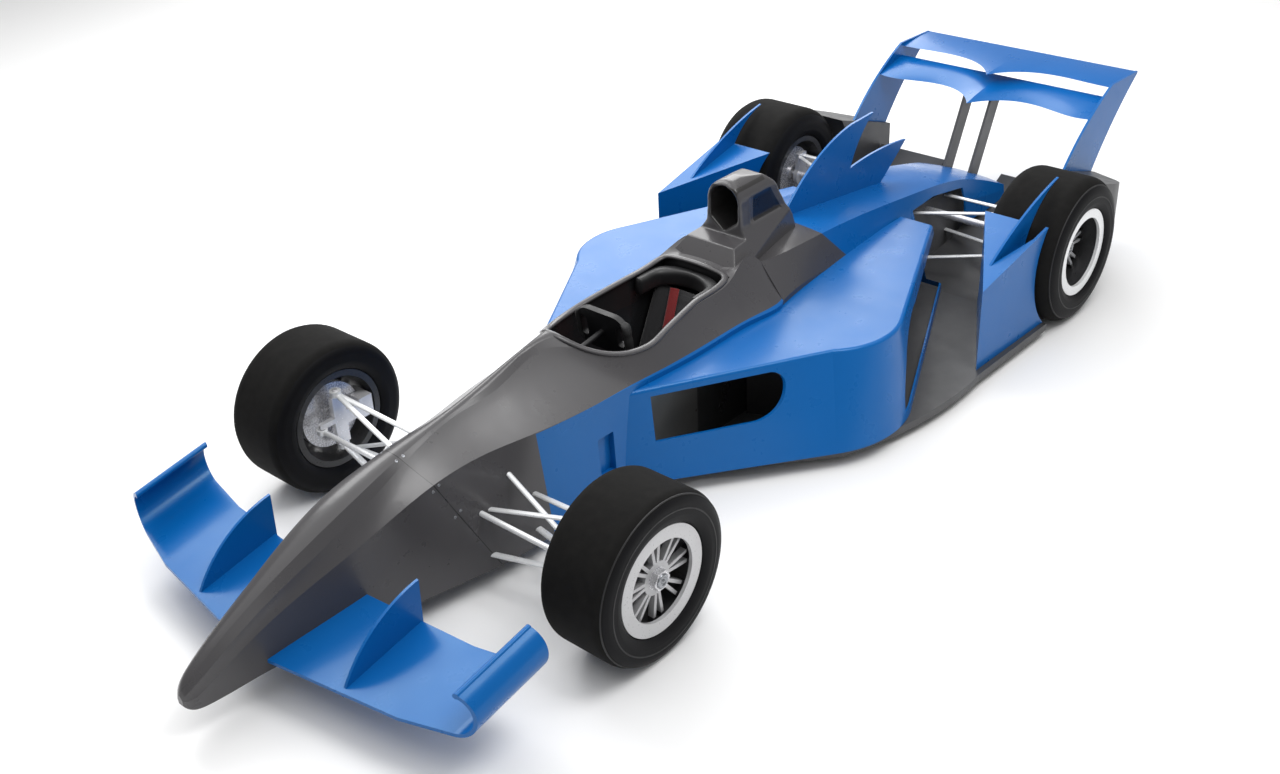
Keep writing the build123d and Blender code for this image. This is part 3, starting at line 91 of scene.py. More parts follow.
# Node helpers for procedural materials
class Graph:
    """A material's node tree with short ways to add nodes."""

    # The range that a noise mostly fills, and how far a face turns towards the middle to count as inward
    NOISE_LOW = 0.3
    NOISE_HIGH = 0.7
    INWARD = -0.03

    def __init__(self, name):
        self.material = bpy.data.materials.new(name)
        self.material.use_nodes = True
        self.tree = self.material.node_tree
        self.shader = self.tree.nodes["Principled BSDF"]
        source = self.tree.nodes.new("ShaderNodeTexCoord")
        self.coords = source.outputs["Object"]
        self.x, self.y, self.z = self.split(self.coords)
        self.normal_x, self.normal_y, self.normal_z = self.split(source.outputs["Normal"])
        self.width = self.math("ABSOLUTE", self.y)
        outward = self.both(self.normal_y, self.math("SIGN", self.y))
        self.inward = self.math("LESS_THAN", outward, self.INWARD)

    def split(self, vector):
        node = self.tree.nodes.new("ShaderNodeSeparateXYZ")
        self.tree.links.new(vector, node.inputs[0])
        return node.outputs

    def put(self, socket, value):
        """Links a node's output to a socket, or sets the socket to a plain value."""
        if isinstance(value, bpy.types.NodeSocket):
            self.tree.links.new(value, socket)
        else:
            socket.default_value = value

    def math(self, operation, first, second=0.0):
        node = self.tree.nodes.new("ShaderNodeMath")
        node.operation = operation
        self.put(node.inputs[0], first)
        self.put(node.inputs[1], second)
        return node.outputs[0]

    def between(self, value, low, high):
        """A mask where a value lies between two limits."""
        return self.both(self.math("GREATER_THAN", value, low), self.math("LESS_THAN", value, high))

    def both(self, first, second):
        """The part that two masks share; for other values, their product."""
        return self.math("MULTIPLY", first, second)

    def either(self, first, second):
        """All that two masks cover."""
        return self.math("MAXIMUM", first, second)

    def mix(self, factor, first, second):
        node = self.tree.nodes.new("ShaderNodeMix")
        node.data_type = "RGBA"
        self.put(node.inputs["Factor"], factor)
        for socket, value in ((node.inputs["A"], first), (node.inputs["B"], second)):
            self.put(socket, value if isinstance(value, bpy.types.NodeSocket) else (*value, 1.0))
        return node.outputs["Result"]

    def noise(self, scale, detail=4.0, stretch=None):
        node = self.tree.nodes.new("ShaderNodeTexNoise")
        node.inputs["Scale"].default_value = scale
        node.inputs["Detail"].default_value = detail
        source = self.coords
        if stretch:
            mapping = self.tree.nodes.new("ShaderNodeMapping")
            mapping.inputs["Scale"].default_value = stretch
            self.tree.links.new(self.coords, mapping.inputs["Vector"])
            source = mapping.outputs["Vector"]
        self.tree.links.new(source, node.inputs["Vector"])
        return node.outputs["Fac"]

    def spread(self, value, low, high):
        """A noise or wave, stretched to run from low to high."""
        node = self.tree.nodes.new("ShaderNodeMapRange")
        self.put(node.inputs["Value"], value)
        node.inputs["From Min"].default_value = self.NOISE_LOW
        node.inputs["From Max"].default_value = self.NOISE_HIGH
        node.inputs["To Min"].default_value = low
        node.inputs["To Max"].default_value = high
        return node.outputs["Result"]

    def tint(self, colour, amount, scale):
        """A colour that drifts a little lighter and darker over the surface."""
        dark = tuple(c * (1 - amount) for c in colour)
        light = tuple(min(1.0, c * (1 + amount)) for c in colour)
        return self.mix(self.noise(scale), dark, light)

    def bump(self, height, distance, strength):
        """Small relief, from a height that varies over the surface."""
        node = self.tree.nodes.new("ShaderNodeBump")
        node.inputs["Distance"].default_value = distance
        node.inputs["Strength"].default_value = strength
        self.tree.links.new(height, node.inputs["Height"])
        self.tree.links.new(node.outputs["Normal"], self.shader.inputs["Normal"])

    def finish(self, colour, rough, metallic=0.0, coat=0.0, coat_rough=0.08, sheen=0.0, specular=0.5):
        """Sets the shader and gives the finished material."""
        self.put(self.shader.inputs["Base Color"], colour)
        self.put(self.shader.inputs["Roughness"], rough)
        self.shader.inputs["Metallic"].default_value = metallic
        self.shader.inputs["Coat Weight"].default_value = coat
        self.shader.inputs["Coat Roughness"].default_value = coat_rough
        self.shader.inputs["Sheen Weight"].default_value = sheen
        self.shader.inputs["Specular IOR Level"].default_value = specular
        return self.material


def seam(graph, point, normal, half_width):
    """A mask along the line where a plane cuts the surface."""
    flat = [graph.math("MULTIPLY", graph.math("SUBTRACT", axis, place), part)
            for axis, place, part in zip((graph.x, graph.y, graph.z), point, normal)]
    offset = graph.math("ADD", graph.math("ADD", flat[0], flat[1]), flat[2])
    return graph.math("LESS_THAN", graph.math("ABSOLUTE", offset), half_width)


# Materials: places along the car are metres ahead of the front axle, and heights are above the ground
NOSE_JOINT_POINT = (FRONT_X + 0.175, 0.0, 0.333)
NOSE_JOINT_NORMAL = Vector((0.293, 0.0, -0.136)).normalized()
SEAM_HALF = 0.0018
SHOULDER_Z = 0.508
BLUE_START = -0.20
INLET_FRONT = -0.712
# Where the side duct's wall turns from grey to painted shade, further in
DUCT_SHADE_START = -1.03
DUCT_TOP = 0.455
DUCT_FLOOR = 0.30
# The cockpit's black lining: rear limit of the side walls, end walls, leg tunnel and floor
LINING_REAR = -1.410
LINING_LOW = 0.10
END_REAR = -1.405
END_FRONT = 0.012
END_HALF = 0.19
TUNNEL_HALF = 0.127
TUNNEL_HIGH = 0.478
COCKPIT_FLOOR_LOW = 0.105
COCKPIT_FLOOR_HIGH = 0.115
COCKPIT_FLOOR_HALF = 0.23
# Parts of a face's normal: upward on a steep face, lengthwise on an end wall, downward on a ceiling
STEEP = 0.45
LENGTHWISE = 0.5
DOWNWARD = -0.5
# The line where the engine cover turns from grey to blue: its place at a height, and its lean
COVER_BLUE_START = -2.05
COVER_BLUE_Z = 0.60
COVER_BLUE_LEAN = 0.9
# The hoop's side panel: its ends, heights, the lean of its rear edge, and its depth from the middle
PANEL_FRONT = -1.690
PANEL_FOOT = -1.880
PANEL_LOW = 0.776
PANEL_HIGH = 0.892
PANEL_LEAN = 0.62
PANEL_INNER = 0.0745
# The hoop's throat, painted dark as shade: its ends, heights and half width
THROAT_FRONT = -1.5915
THROAT_REAR = -1.787
THROAT_LOW = 0.744
THROAT_TOP = 0.9465
THROAT_PAINT_HALF = 0.0728
# Lacquer: the colour and strength of its gloss, and how its tone drifts
BLUE_GLOSS = (0.42, 0.78, 1.0, 1.0)
PLAIN_GLOSS = (1.0, 1.0, 1.0, 1.0)
BLUE_SPECULAR = 0.32
PLAIN_SPECULAR = 0.42
PAINT_DRIFT = {"amount": 0.07, "scale": 3.0}
DUCT_DRIFT = {"amount": 0.10, "scale": 5.0}


def lacquer(graph, shade, gloss=PLAIN_GLOSS, specular=PLAIN_SPECULAR):
    """Smooth lacquer over a colour, with a faint orange-peel and small changes of gloss."""
    graph.put(graph.shader.inputs["Specular Tint"], gloss)
    rough = graph.spread(graph.noise(scale=9.0), low=0.26, high=0.34)
    graph.bump(graph.noise(scale=30.0, detail=1.0), distance=0.0006, strength=0.04)
    return graph.finish(shade, rough, coat=0.15, coat_rough=0.14, specular=specular)


def painted(name, colour, lines=(), gloss=PLAIN_GLOSS, specular=PLAIN_SPECULAR):
    """Lacquer in one colour with a slight drift of tone, and dark joint lines at given planes."""
    graph = Graph(name)
    shade = graph.tint(colour, **PAINT_DRIFT)
    for point, normal in lines:
        shade = graph.mix(seam(graph, point, normal, SEAM_HALF), shade, BLACK)
    return lacquer(graph, shade, gloss, specular)


def cockpit_lining(graph):
    """A mask over the inside of the cockpit: side walls, end walls, leg tunnel and floor."""
    steep = graph.math("LESS_THAN", graph.normal_z, STEEP)
    ahead = graph.math("GREATER_THAN", graph.x, FRONT_X + LINING_REAR)
    walls = graph.both(graph.both(graph.inward, steep), ahead)
    middle = graph.both(graph.math("LESS_THAN", graph.width, END_HALF),
                        graph.math("GREATER_THAN", graph.z, LINING_LOW))
    facing = graph.math("GREATER_THAN", graph.math("ABSOLUTE", graph.normal_x), LENGTHWISE)
    ends = graph.both(graph.both(facing, middle),
                      graph.between(graph.x, FRONT_X + END_REAR, FRONT_X + END_FRONT))
    tunnel = graph.both(graph.math("LESS_THAN", graph.width, TUNNEL_HALF),
                        graph.between(graph.z, LINING_LOW, TUNNEL_HIGH))
    floor = graph.both(graph.between(graph.z, COCKPIT_FLOOR_LOW, COCKPIT_FLOOR_HIGH),
                       graph.math("LESS_THAN", graph.width, COCKPIT_FLOOR_HALF))
    return graph.either(graph.either(walls, graph.both(ends, steep)), graph.either(tunnel, floor))


def cell_paint():
    """The survival cell: grey above, blue flanks behind the front wheels, black inside the cockpit."""
    graph = Graph("cell_paint")
    shade = graph.tint(GREY, **PAINT_DRIFT)
    low = graph.math("LESS_THAN", graph.z, SHOULDER_Z)
    flank = graph.both(graph.math("LESS_THAN", graph.x, FRONT_X + BLUE_START), low)
    shade = graph.mix(flank, shade, graph.tint(BLUE, **PAINT_DRIFT))
    # The duct wall behind the inlet: grey near its mouth, painted shade further in
    duct = graph.both(graph.math("LESS_THAN", graph.x, FRONT_X + INLET_FRONT),
                      graph.math("LESS_THAN", graph.z, DUCT_TOP))
    shade = graph.mix(duct, shade, graph.tint(PAINTED_SHADE_GREY, **DUCT_DRIFT))
    mouth = graph.both(duct, graph.math("GREATER_THAN", graph.x, FRONT_X + DUCT_SHADE_START))
    shade = graph.mix(mouth, shade, graph.tint(DUCT_GREY, **DUCT_DRIFT))
    shade = graph.mix(seam(graph, NOSE_JOINT_POINT, NOSE_JOINT_NORMAL, SEAM_HALF), shade, BLACK)
    shade = graph.mix(cockpit_lining(graph), shade, COCKPIT_BLACK)
    return lacquer(graph, shade, graph.mix(flank, PLAIN_GLOSS[:3], BLUE_GLOSS[:3]))


def pod_paint():
    """The sidepods: blue outside, dark grey on every face that looks in or down into the duct."""
    graph = Graph("pod_paint")
    down = graph.math("LESS_THAN", graph.normal_z, DOWNWARD)
    ceiling = graph.both(down, graph.math("GREATER_THAN", graph.z, DUCT_FLOOR))
    inner = graph.either(graph.inward, ceiling)
    shade = graph.mix(inner, graph.tint(BLUE, **PAINT_DRIFT), graph.tint(DUCT_GREY, **DUCT_DRIFT))
    return lacquer(graph, shade, BLUE_GLOSS, BLUE_SPECULAR)


def cover_paint():
    """The engine cover: grey where it meets the roll hoop, blue behind a slanted line."""
    graph = Graph("cover_paint")
    rise = graph.math("MULTIPLY", graph.math("SUBTRACT", graph.z, COVER_BLUE_Z), COVER_BLUE_LEAN)
    edge = graph.math("ADD", FRONT_X + COVER_BLUE_START, rise)
    ahead = graph.math("GREATER_THAN", graph.x, edge)
    shade = graph.mix(ahead, graph.tint(BLUE, **PAINT_DRIFT), graph.tint(GREY, **PAINT_DRIFT))
    return lacquer(graph, shade, graph.mix(ahead, BLUE_GLOSS[:3], PLAIN_GLOSS[:3]))


def hoop_paint():
    """The roll hoop: grey, with a smoked glass panel in each side and painted shade in its throat."""
    graph = Graph("hoop_paint")
    lean = graph.math("MULTIPLY", graph.math("SUBTRACT", graph.z, PANEL_LOW), PANEL_LEAN)
    ahead = graph.math("GREATER_THAN", graph.x, graph.math("ADD", FRONT_X + PANEL_FOOT, lean))
    panel = graph.both(ahead, graph.math("LESS_THAN", graph.x, FRONT_X + PANEL_FRONT))
    panel = graph.both(panel, graph.between(graph.z, PANEL_LOW, PANEL_HIGH))
    panel = graph.both(panel, graph.math("GREATER_THAN", graph.width, PANEL_INNER))
    throat = graph.both(graph.between(graph.z, THROAT_LOW, THROAT_TOP),
                        graph.between(graph.x, FRONT_X + THROAT_REAR, FRONT_X + THROAT_FRONT))
    throat = graph.both(graph.math("LESS_THAN", graph.width, THROAT_PAINT_HALF), throat)
    shade = graph.mix(panel, graph.tint(GREY, **PAINT_DRIFT), GLASS)
    # Painted shade in the deep intake throat
    shade = graph.mix(throat, shade, graph.tint(PAINTED_SHADE_GREY, **DUCT_DRIFT))
    return lacquer(graph, shade)


# Wheels: the rim's dark barrel and outer lip; the tyre's tread edge, wall rings and roughness
BARREL_RADIUS = 0.158
LIP_DEPTH = 0.016
FRONT_LIP_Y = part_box("front_rim_left")[1].y - LIP_DEPTH
REAR_LIP_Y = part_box("rear_rim_left")[1].y - LIP_DEPTH
FRONT_SHOULDER = 0.048
REAR_SHOULDER = 0.078
TREAD_EDGE = 0.35
WALL_WAVES = 900.0
WALL_WAVE_HEIGHT = 0.05
WALL_ROUGH = (0.55, 0.55, 0.55)
TREAD_ROUGH = (0.85, 0.85, 0.85)
# Woven cloth: its threads in radians a metre, and their shares of the cloth's colour
THREADS = 2400.0
THREAD_DARK = 0.7
THREAD_LIGHT = 1.15


def axle_distance(graph, axle):
    """How far a point of a wheel is from its axle."""
    ahead = graph.math("SUBTRACT", graph.x, axle.x)
    above = graph.math("SUBTRACT", graph.z, axle.z)
    return graph.math("SQRT", graph.math("ADD", graph.both(ahead, ahead), graph.both(above, above)))


def rim_paint(name, lip, spoke, lip_y, axle):
    """A wheel rim: lacquered outer lip, bright spokes and hub, and a dark barrel behind them."""
    graph = Graph(name)
    inner = graph.math("LESS_THAN", axle_distance(graph, axle), BARREL_RADIUS)
    outer = graph.math("GREATER_THAN", graph.width, lip_y)
    shade = graph.mix(inner, DARK_METAL, graph.tint(spoke, amount=0.08, scale=20.0))
    shade = graph.mix(outer, shade, graph.tint(lip, amount=0.04, scale=20.0))
    grain = graph.noise(scale=160.0, detail=5.0)
    graph.bump(grain, distance=0.0003, strength=0.12)
    return graph.finish(shade, graph.spread(grain, low=0.26, high=0.40), metallic=0.25, coat=0.2)


def tyre_rubber(name, axle, shoulder):
    """Slick rubber: scuffed, faintly grey tread and darker, smoother walls with fine moulding rings."""
    graph = Graph(name)
    reach = axle_distance(graph, axle)
    tread = graph.math("GREATER_THAN", reach, axle.z - shoulder * TREAD_EDGE)
    worn = graph.mix(graph.noise(scale=26.0, detail=8.0), TREAD_DARK, TREAD_LIGHT)
    shade = graph.mix(tread, graph.tint(RUBBER, amount=0.25, scale=14.0), worn)
    rings = graph.math("SINE", graph.math("MULTIPLY", reach, WALL_WAVES))
    rings = graph.math("MULTIPLY", rings, WALL_WAVE_HEIGHT)
    graph.bump(graph.math("ADD", graph.noise(scale=260.0, detail=6.0), rings), distance=0.0008, strength=0.5)
    return graph.finish(shade, graph.mix(tread, WALL_ROUGH, TREAD_ROUGH), specular=0.12)


def metal(name, colour, rough, metallic=1.0, streak=None, coat=0.0):
    """Metal with a fine brushed or cast grain."""
    graph = Graph(name)
    grain = graph.noise(scale=160.0, detail=5.0, stretch=streak)
    shade = graph.tint(colour, amount=0.10, scale=20.0)
    graph.bump(grain, distance=0.0003, strength=0.12)
    rough = graph.spread(grain, low=rough * 0.8, high=rough * 1.25)
    return graph.finish(shade, rough, metallic, coat)


def moulded(name, colour, rough, grain=500.0):
    """Moulded composite or plastic with a fine even grain."""
    graph = Graph(name)
    shade = graph.tint(colour, amount=0.10, scale=8.0)
    graph.bump(graph.noise(scale=grain, detail=3.0), distance=0.0004, strength=0.2)
    rough = graph.spread(graph.noise(scale=12.0), low=rough * 0.85, high=rough * 1.15)
    return graph.finish(shade, rough)


def webbing(name, colour):
    """Woven belt or seat cloth: two crossed sets of threads."""
    graph = Graph(name)
    across = graph.math("SINE", graph.math("MULTIPLY", graph.y, THREADS))
    along = graph.math("SINE", graph.math("MULTIPLY", graph.math("ADD", graph.x, graph.z), THREADS))
    weave = graph.both(across, along)
    dark = tuple(part * THREAD_DARK for part in colour)
    light = tuple(part * THREAD_LIGHT for part in colour)
    shade = graph.mix(graph.spread(weave, low=0.2, high=0.8), dark, light)
    graph.bump(weave, distance=0.0005, strength=0.5)
    return graph.finish(shade, rough=0.85, sheen=0.3)


blue = painted("blue_lacquer", BLUE, gloss=BLUE_GLOSS, specular=BLUE_SPECULAR)
grey_nose = painted("nose_lacquer", GREY, [(NOSE_JOINT_POINT, NOSE_JOINT_NORMAL)])
edge_grey = painted("edge_lacquer", GREY)
hoop_grey = hoop_paint()
pod_blue = pod_paint()
floor_finish = moulded("floor_composite", FLOOR_GREY, rough=0.42)
pylon_finish = moulded("pylon_composite", PYLON_GREY, rough=0.38)
silver = metal("polished_alloy", SILVER, rough=0.22, metallic=0.55)
arm_finish = metal("arm_lacquer", WHITE, rough=0.32, metallic=0.25, coat=0.4)
steel = metal("machined_steel", STEEL, rough=0.26, metallic=0.6, streak=(1.0, 12.0, 1.0))
dark_metal = metal("dark_cast_metal", DARK_METAL, rough=0.55, metallic=0.5)
casting = metal("gearbox_casting", CAST_GREY, rough=0.60, metallic=0.7)
cap_finish = metal("nut_cap_alloy", CAP_ALLOY, rough=0.28)
front_rim = rim_paint("front_rim_alloy", RIM_GREY, FRONT_SPOKE, FRONT_LIP_Y, FRONT_AXLE)
rear_rim = rim_paint("rear_rim_alloy", WHITE, REAR_SPOKE, REAR_LIP_Y, REAR_AXLE)
front_rubber = tyre_rubber("front_rubber", FRONT_AXLE, FRONT_SHOULDER)
rear_rubber = tyre_rubber("rear_rubber", REAR_AXLE, REAR_SHOULDER)
ring_rubber = moulded("ring_rubber", RING_BLACK, rough=0.60, grain=300.0)
black_plastic = moulded("black_plastic", BLACK, rough=0.50)
seat_cloth = webbing("seat_cloth", SEAT_BLACK)
belt_red = webbing("belt_red", RED)
collar_leather = moulded("collar_leather", COLLAR_BLACK, rough=0.48, grain=260.0)
grip_rubber = moulded("grip_rubber", GRIP_BLACK, rough=0.70, grain=900.0)
display_glass = moulded("display_glass", DISPLAY_BLACK, rough=0.16)
button_red = moulded("button_red", BUTTON_RED, rough=0.35)
knob_grey = moulded("knob_grey", CAST_GREY, rough=0.40)

FINISH = {
    "nose_cone": grey_nose, "survival_cell": cell_paint(), "engine_cover": cover_paint(),
    "roll_hoop": hoop_grey, "floor": floor_finish, "rear_wing_pylons": pylon_finish,
    "radiators": dark_metal, "engine": casting, "gearbox": casting, "seat": seat_cloth,
    "headrest": seat_cloth, "steering_wheel": black_plastic, "steering_rack": arm_finish,
    "dorsal_fin": blue, "front_wing_fins": blue, "rear_wing_main": blue, "rear_wing_flap": blue,
}
# Nodes that come as a left and a right one
PAIR_FINISH = {
    "front_wing": blue, "sidepod": pod_blue, "rear_pod": blue, "rear_bumper": floor_finish,
    "rear_wing_endplate": blue, "front_arms": arm_finish, "rear_arms": arm_finish,
    "front_upright": silver, "rear_upright": silver, "front_hub": steel, "rear_hub": steel,
    "front_rim": front_rim, "rear_rim": rear_rim, "front_tyre": front_rubber, "rear_tyre": rear_rubber,
}
for stem, finish in PAIR_FINISH.items():
    FINISH[stem + "_left"] = finish
    FINISH[stem + "_right"] = finish
for name, finish in FINISH.items():
    for slot in NODES[name].material_slots:
        slot.material = finish


# Pieces in mesh code
def piece(name, points, faces, finish, body, slot, flat=False):
    """A mesh piece that rides on a body, with the given finish; its slot is not used."""
    mesh = bpy.data.meshes.new(name)
    mesh.from_pydata([tuple(point) for point in points], [], faces)
    build = bmesh.new()
    build.from_mesh(mesh)
    bmesh.ops.recalc_face_normals(build, faces=build.faces)
    build.to_mesh(mesh)
    build.free()
    mesh.polygons.foreach_set("use_smooth", [not flat] * len(mesh.polygons))
    mesh.materials.append(finish)
    made = bpy.data.objects.new(name, mesh)
    bpy.context.scene.collection.objects.link(made)
    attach(made, body)
    return made


def tube_faces(rings, around, loop=False):
    """Faces that join rings of points, one after another, with capped ends or in a closed loop."""
    faces = []
    for ring in range(rings if loop else rings - 1):
        here, there = ring * around, (ring + 1) % rings * around
        for k in range(around):
            after = (k + 1) % around
            faces.append((here + k, here + after, there + after, there + k))
    if not loop:
        faces.append(tuple(range(around)))
        faces.append(tuple((rings - 1) * around + k for k in range(around)))
    return faces


def smooth_path(points, steps):
    """Points along a smooth curve through the given points."""
    ends = [points[0] * 2 - points[1], *points, points[-1] * 2 - points[-2]]
    path = []
    for a, b, c, d in zip(ends, ends[1:], ends[2:], ends[3:]):
        for k in range(steps):
            t = k / steps
            path.append(0.5 * (2 * b + (c - a) * t + (2 * a - 5 * b + 4 * c - d) * t * t
                               + (3 * b - a - 3 * c + d) * t ** 3))
    return [*path, points[-1]]


def upright(direction):
    """A direction, turned round where it points down."""
    return direction if direction.z > 0 else -direction


def joined(parts):
    """Several sets of points and faces as one."""
    points, faces = [], []
    for part_points, part_faces in parts:
        start = len(points)
        points.extend(part_points)
        faces.extend(tuple(index + start for index in face) for face in part_faces)
    return points, faces


def turned(profile, origin, axis, around=32):
    """A shape turned about an axis: profile rows are radius and distance along the axis."""
    side = axis.orthogonal().normalized()
    up = axis.cross(side)
    points = []
    for radius, along in profile:
        for k in range(around):
            angle = 2 * math.pi * k / around
            spoke = side * (radius * math.cos(angle)) + up * (radius * math.sin(angle))
            points.append(origin + axis * along + spoke)
    return points, tube_faces(len(profile), around)


def ribbon(points, across, width, thick=0.0026, steps=10):
    """A flat belt along a smooth path, with slightly raised selvedges."""
    path = smooth_path(points, steps)
    outline = [(-0.5, -0.5), (-0.5, 0.7), (-0.38, 0.5), (0.38, 0.5), (0.5, 0.7), (0.5, -0.5)]
    made = []
    for k, point in enumerate(path):
        run = path[min(k + 1, len(path) - 1)] - path[max(k - 1, 0)]
        wide = (across - run.normalized() * across.dot(run.normalized())).normalized()
        normal = run.normalized().cross(wide)
        normal = -normal if normal.z < 0 else normal
        made.extend(point + wide * (width * u) + normal * (thick * v) for u, v in outline)
    return made, tube_faces(len(path), len(outline))


# Seat: a padded bucket on the seat solid's own line, with bolsters and sewn channels
SEAT_LOW, SEAT_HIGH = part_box("seat")
SEAT_FILL = 0.97
SEAT_HALF = SEAT_HIGH.y * SEAT_FILL
# The seat's rear end lies at the cockpit's rear wall
WALL_X = SEAT_LOW.x
# Distance ahead of the rear wall, and height
SEAT_ROWS = [(0.050, 0.545), (0.095, 0.460), (0.150, 0.350), (0.205, 0.245), (0.255, 0.188), (0.330, 0.172),
             (0.420, 0.182), (0.500, 0.194), (0.534, 0.186)]
SEAT_LINE = [Vector((WALL_X + x, 0.0, z)) for x, z in SEAT_ROWS]
SEAT_COLUMNS = 36
SEAT_STEPS = 8
SEAT_BACKING = 0.028
# The padding rolls off at both ends of the line, over about this many rows
SEAT_END_FALL = 0.012
SEAT_END_ROWS = 1.5
# Shares of the half width: where the bolsters start, how soon they are full, where they roll off
BOLSTER_START = 0.56
BOLSTER_SPEED = 1.25
BOLSTER_ROLL = 0.8
BOLSTER_RISE = 0.042
BOLSTER_FALL = 0.100
CHANNELS = 13
CHANNEL_DEPTH = 0.0055
CHANNEL_ROUND = 0.6
CHANNEL_MARGIN = 0.04
SEWN_DEPTH = 0.004
SEWN_WIDTH = 0.02


def seat_normal(line, k):
    """The direction that stands up from the seat's line at a row."""
    run = line[min(k + 1, len(line) - 1)] - line[max(k - 1, 0)]
    return Vector((-run.z, 0.0, run.x)).normalized()


def seat_height(share, across):
    """How far the padding stands above the seat's line."""
    wide = abs(across)
    bolster = max(0.0, (wide - BOLSTER_START) / (1 - BOLSTER_START))
    rise = BOLSTER_RISE * math.sin(min(1.0, bolster * BOLSTER_SPEED) * math.pi / 2)
    rise -= BOLSTER_FALL * max(0.0, bolster - BOLSTER_ROLL)
    channel = 0.0
    if wide < BOLSTER_START - CHANNEL_MARGIN:
        channel = CHANNEL_DEPTH * abs(math.sin(share * CHANNELS * math.pi)) ** CHANNEL_ROUND
    sewn = -SEWN_DEPTH * math.exp(-((wide - BOLSTER_START) / SEWN_WIDTH) ** 2)
    return rise + channel + sewn


def make_seat():
    """The seat's padding: a closed sheet over the seat's line, in place of the seat solid."""
    line = smooth_path(SEAT_LINE, SEAT_STEPS)
    last = len(line) - 1
    top, back = [], []
    for k, point in enumerate(line):
        normal = seat_normal(line, k)
        fall = SEAT_END_FALL * (math.exp(-k / SEAT_END_ROWS) + math.exp(-(last - k) / SEAT_END_ROWS))
        for c in range(SEAT_COLUMNS + 1):
            across = 2 * c / SEAT_COLUMNS - 1
            place = point + Vector((0.0, across * SEAT_HALF, 0.0))
            top.append(place + normal * (seat_height(k / last, across) - fall))
            back.append(place - normal * SEAT_BACKING)
    columns = SEAT_COLUMNS + 1
    count = len(top)
    faces = []
    for k in range(last):
        for c in range(SEAT_COLUMNS):
            a = k * columns + c
            faces.append((a, a + 1, a + columns + 1, a + columns))
            faces.append((count + a, count + a + columns, count + a + columns + 1, count + a + 1))
    edge = list(range(columns)) + [k * columns + SEAT_COLUMNS for k in range(1, len(line))]
    edge += [last * columns + c for c in range(SEAT_COLUMNS - 1, -1, -1)]
    edge += [k * columns for k in range(last - 1, 0, -1)]
    for a, b in zip(edge, edge[1:] + edge[:1]):
        faces.append((a, b, count + b, count + a))
    made = piece("seat_pad", top + back, faces, seat_cloth, "chassis", "seat_black")
    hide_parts("seat")


# Headrest: a padded collar round the back of the cockpit
REST_LOW, REST_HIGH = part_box("headrest")
REST_MIDDLE = (REST_LOW.z + REST_HIGH.z) / 2
REST_HALF_HEIGHT = (REST_HIGH.z - REST_LOW.z) / 2
# Distance ahead of the rear wall, place across, half width of the pad
REST_LINE = [(0.206, 0.153, 0.010), (0.196, 0.153, 0.021), (0.165, 0.153, 0.0255), (0.115, 0.152, 0.0260),
             (0.070, 0.140, 0.032), (0.038, 0.100, 0.030), (0.024, 0.050, 0.023), (0.020, 0.0, 0.019)]
REST_STEPS = 8
REST_AROUND = 28
# The pad is this share of its full height where it is thinnest, and full where it is wide
REST_TALL_SHARE = 0.45
REST_TALL_WIDTH = 0.036
# How square the section is, and the two sewn lines round it: depth, place and width
REST_SQUARE = 0.6
REST_SEWN_DEPTH = 0.05
REST_SEWN_PLACE = 0.72
REST_SEWN_WIDTH = 0.06


def make_headrest():
    """The collar's padding, in place of the headrest solid."""
    rows = REST_LINE + [(x, -y, half) for x, y, half in reversed(REST_LINE[:-1])]
    path = smooth_path([Vector(row) for row in rows], REST_STEPS)
    points = []
    for k, (x, y, half) in enumerate(path):
        run = path[min(k + 1, len(path) - 1)] - path[max(k - 1, 0)]
        side = Vector((-run.y, run.x, 0.0)).normalized()
        place = Vector((WALL_X + x, y, REST_MIDDLE))
        tall = REST_HALF_HEIGHT * min(1.0, REST_TALL_SHARE + half / REST_TALL_WIDTH)
        for a in range(REST_AROUND):
            angle = 2 * math.pi * a / REST_AROUND
            wide = math.copysign(abs(math.cos(angle)) ** REST_SQUARE, math.cos(angle))
            high = math.copysign(abs(math.sin(angle)) ** REST_SQUARE, math.sin(angle))
            off_line = (abs(math.sin(angle)) - REST_SEWN_PLACE) / REST_SEWN_WIDTH
            pinch = 1.0 - REST_SEWN_DEPTH * math.exp(-off_line ** 2)
            points.append(place + side * (half * wide * pinch) + Vector((0.0, 0.0, tall * high * pinch)))
    faces = tube_faces(len(path), REST_AROUND)
    made = piece("headrest_pad", points, faces, collar_leather, "chassis", "seat_black")
    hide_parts("headrest")


# Harness: shoulder, lap and crotch belts that meet at a round buckle
ACROSS = Vector((0.0, 1.0, 0.0))
BELT_LIFT = 0.011
BELT_STEPS = 2
BUCKLE_PLACE = Vector((WALL_X + 0.318, 0.0, 0.200))
BUCKLE_AXIS = Vector((0.35, 0.0, 0.94)).normalized()
BUCKLE_DIP = 0.004
# Shoulder belts follow the seat's line for some rows, and close in on their way down
SHOULDER_ROWS = 10
SHOULDER_Y = 0.070
SHOULDER_CLOSING = 0.046
SHOULDER_END_Y = 0.018
SHOULDER_WIDTH = 0.048
# Lap belts: distance ahead of the rear wall, place across, height
LAP_LINE = [(0.300, 0.158, 0.232), (0.306, 0.110, 0.196), (0.314, 0.060, 0.192)]
LAP_END_Y = 0.020
LAP_WIDTH = 0.050
LAP_ACROSS = Vector((0.93, 0.0, 0.2))
CROTCH_START = Vector((0.012, 0.0, -0.006))
CROTCH_ROWS = (12, 13, 14, 15)
CROTCH_WIDTH = 0.042
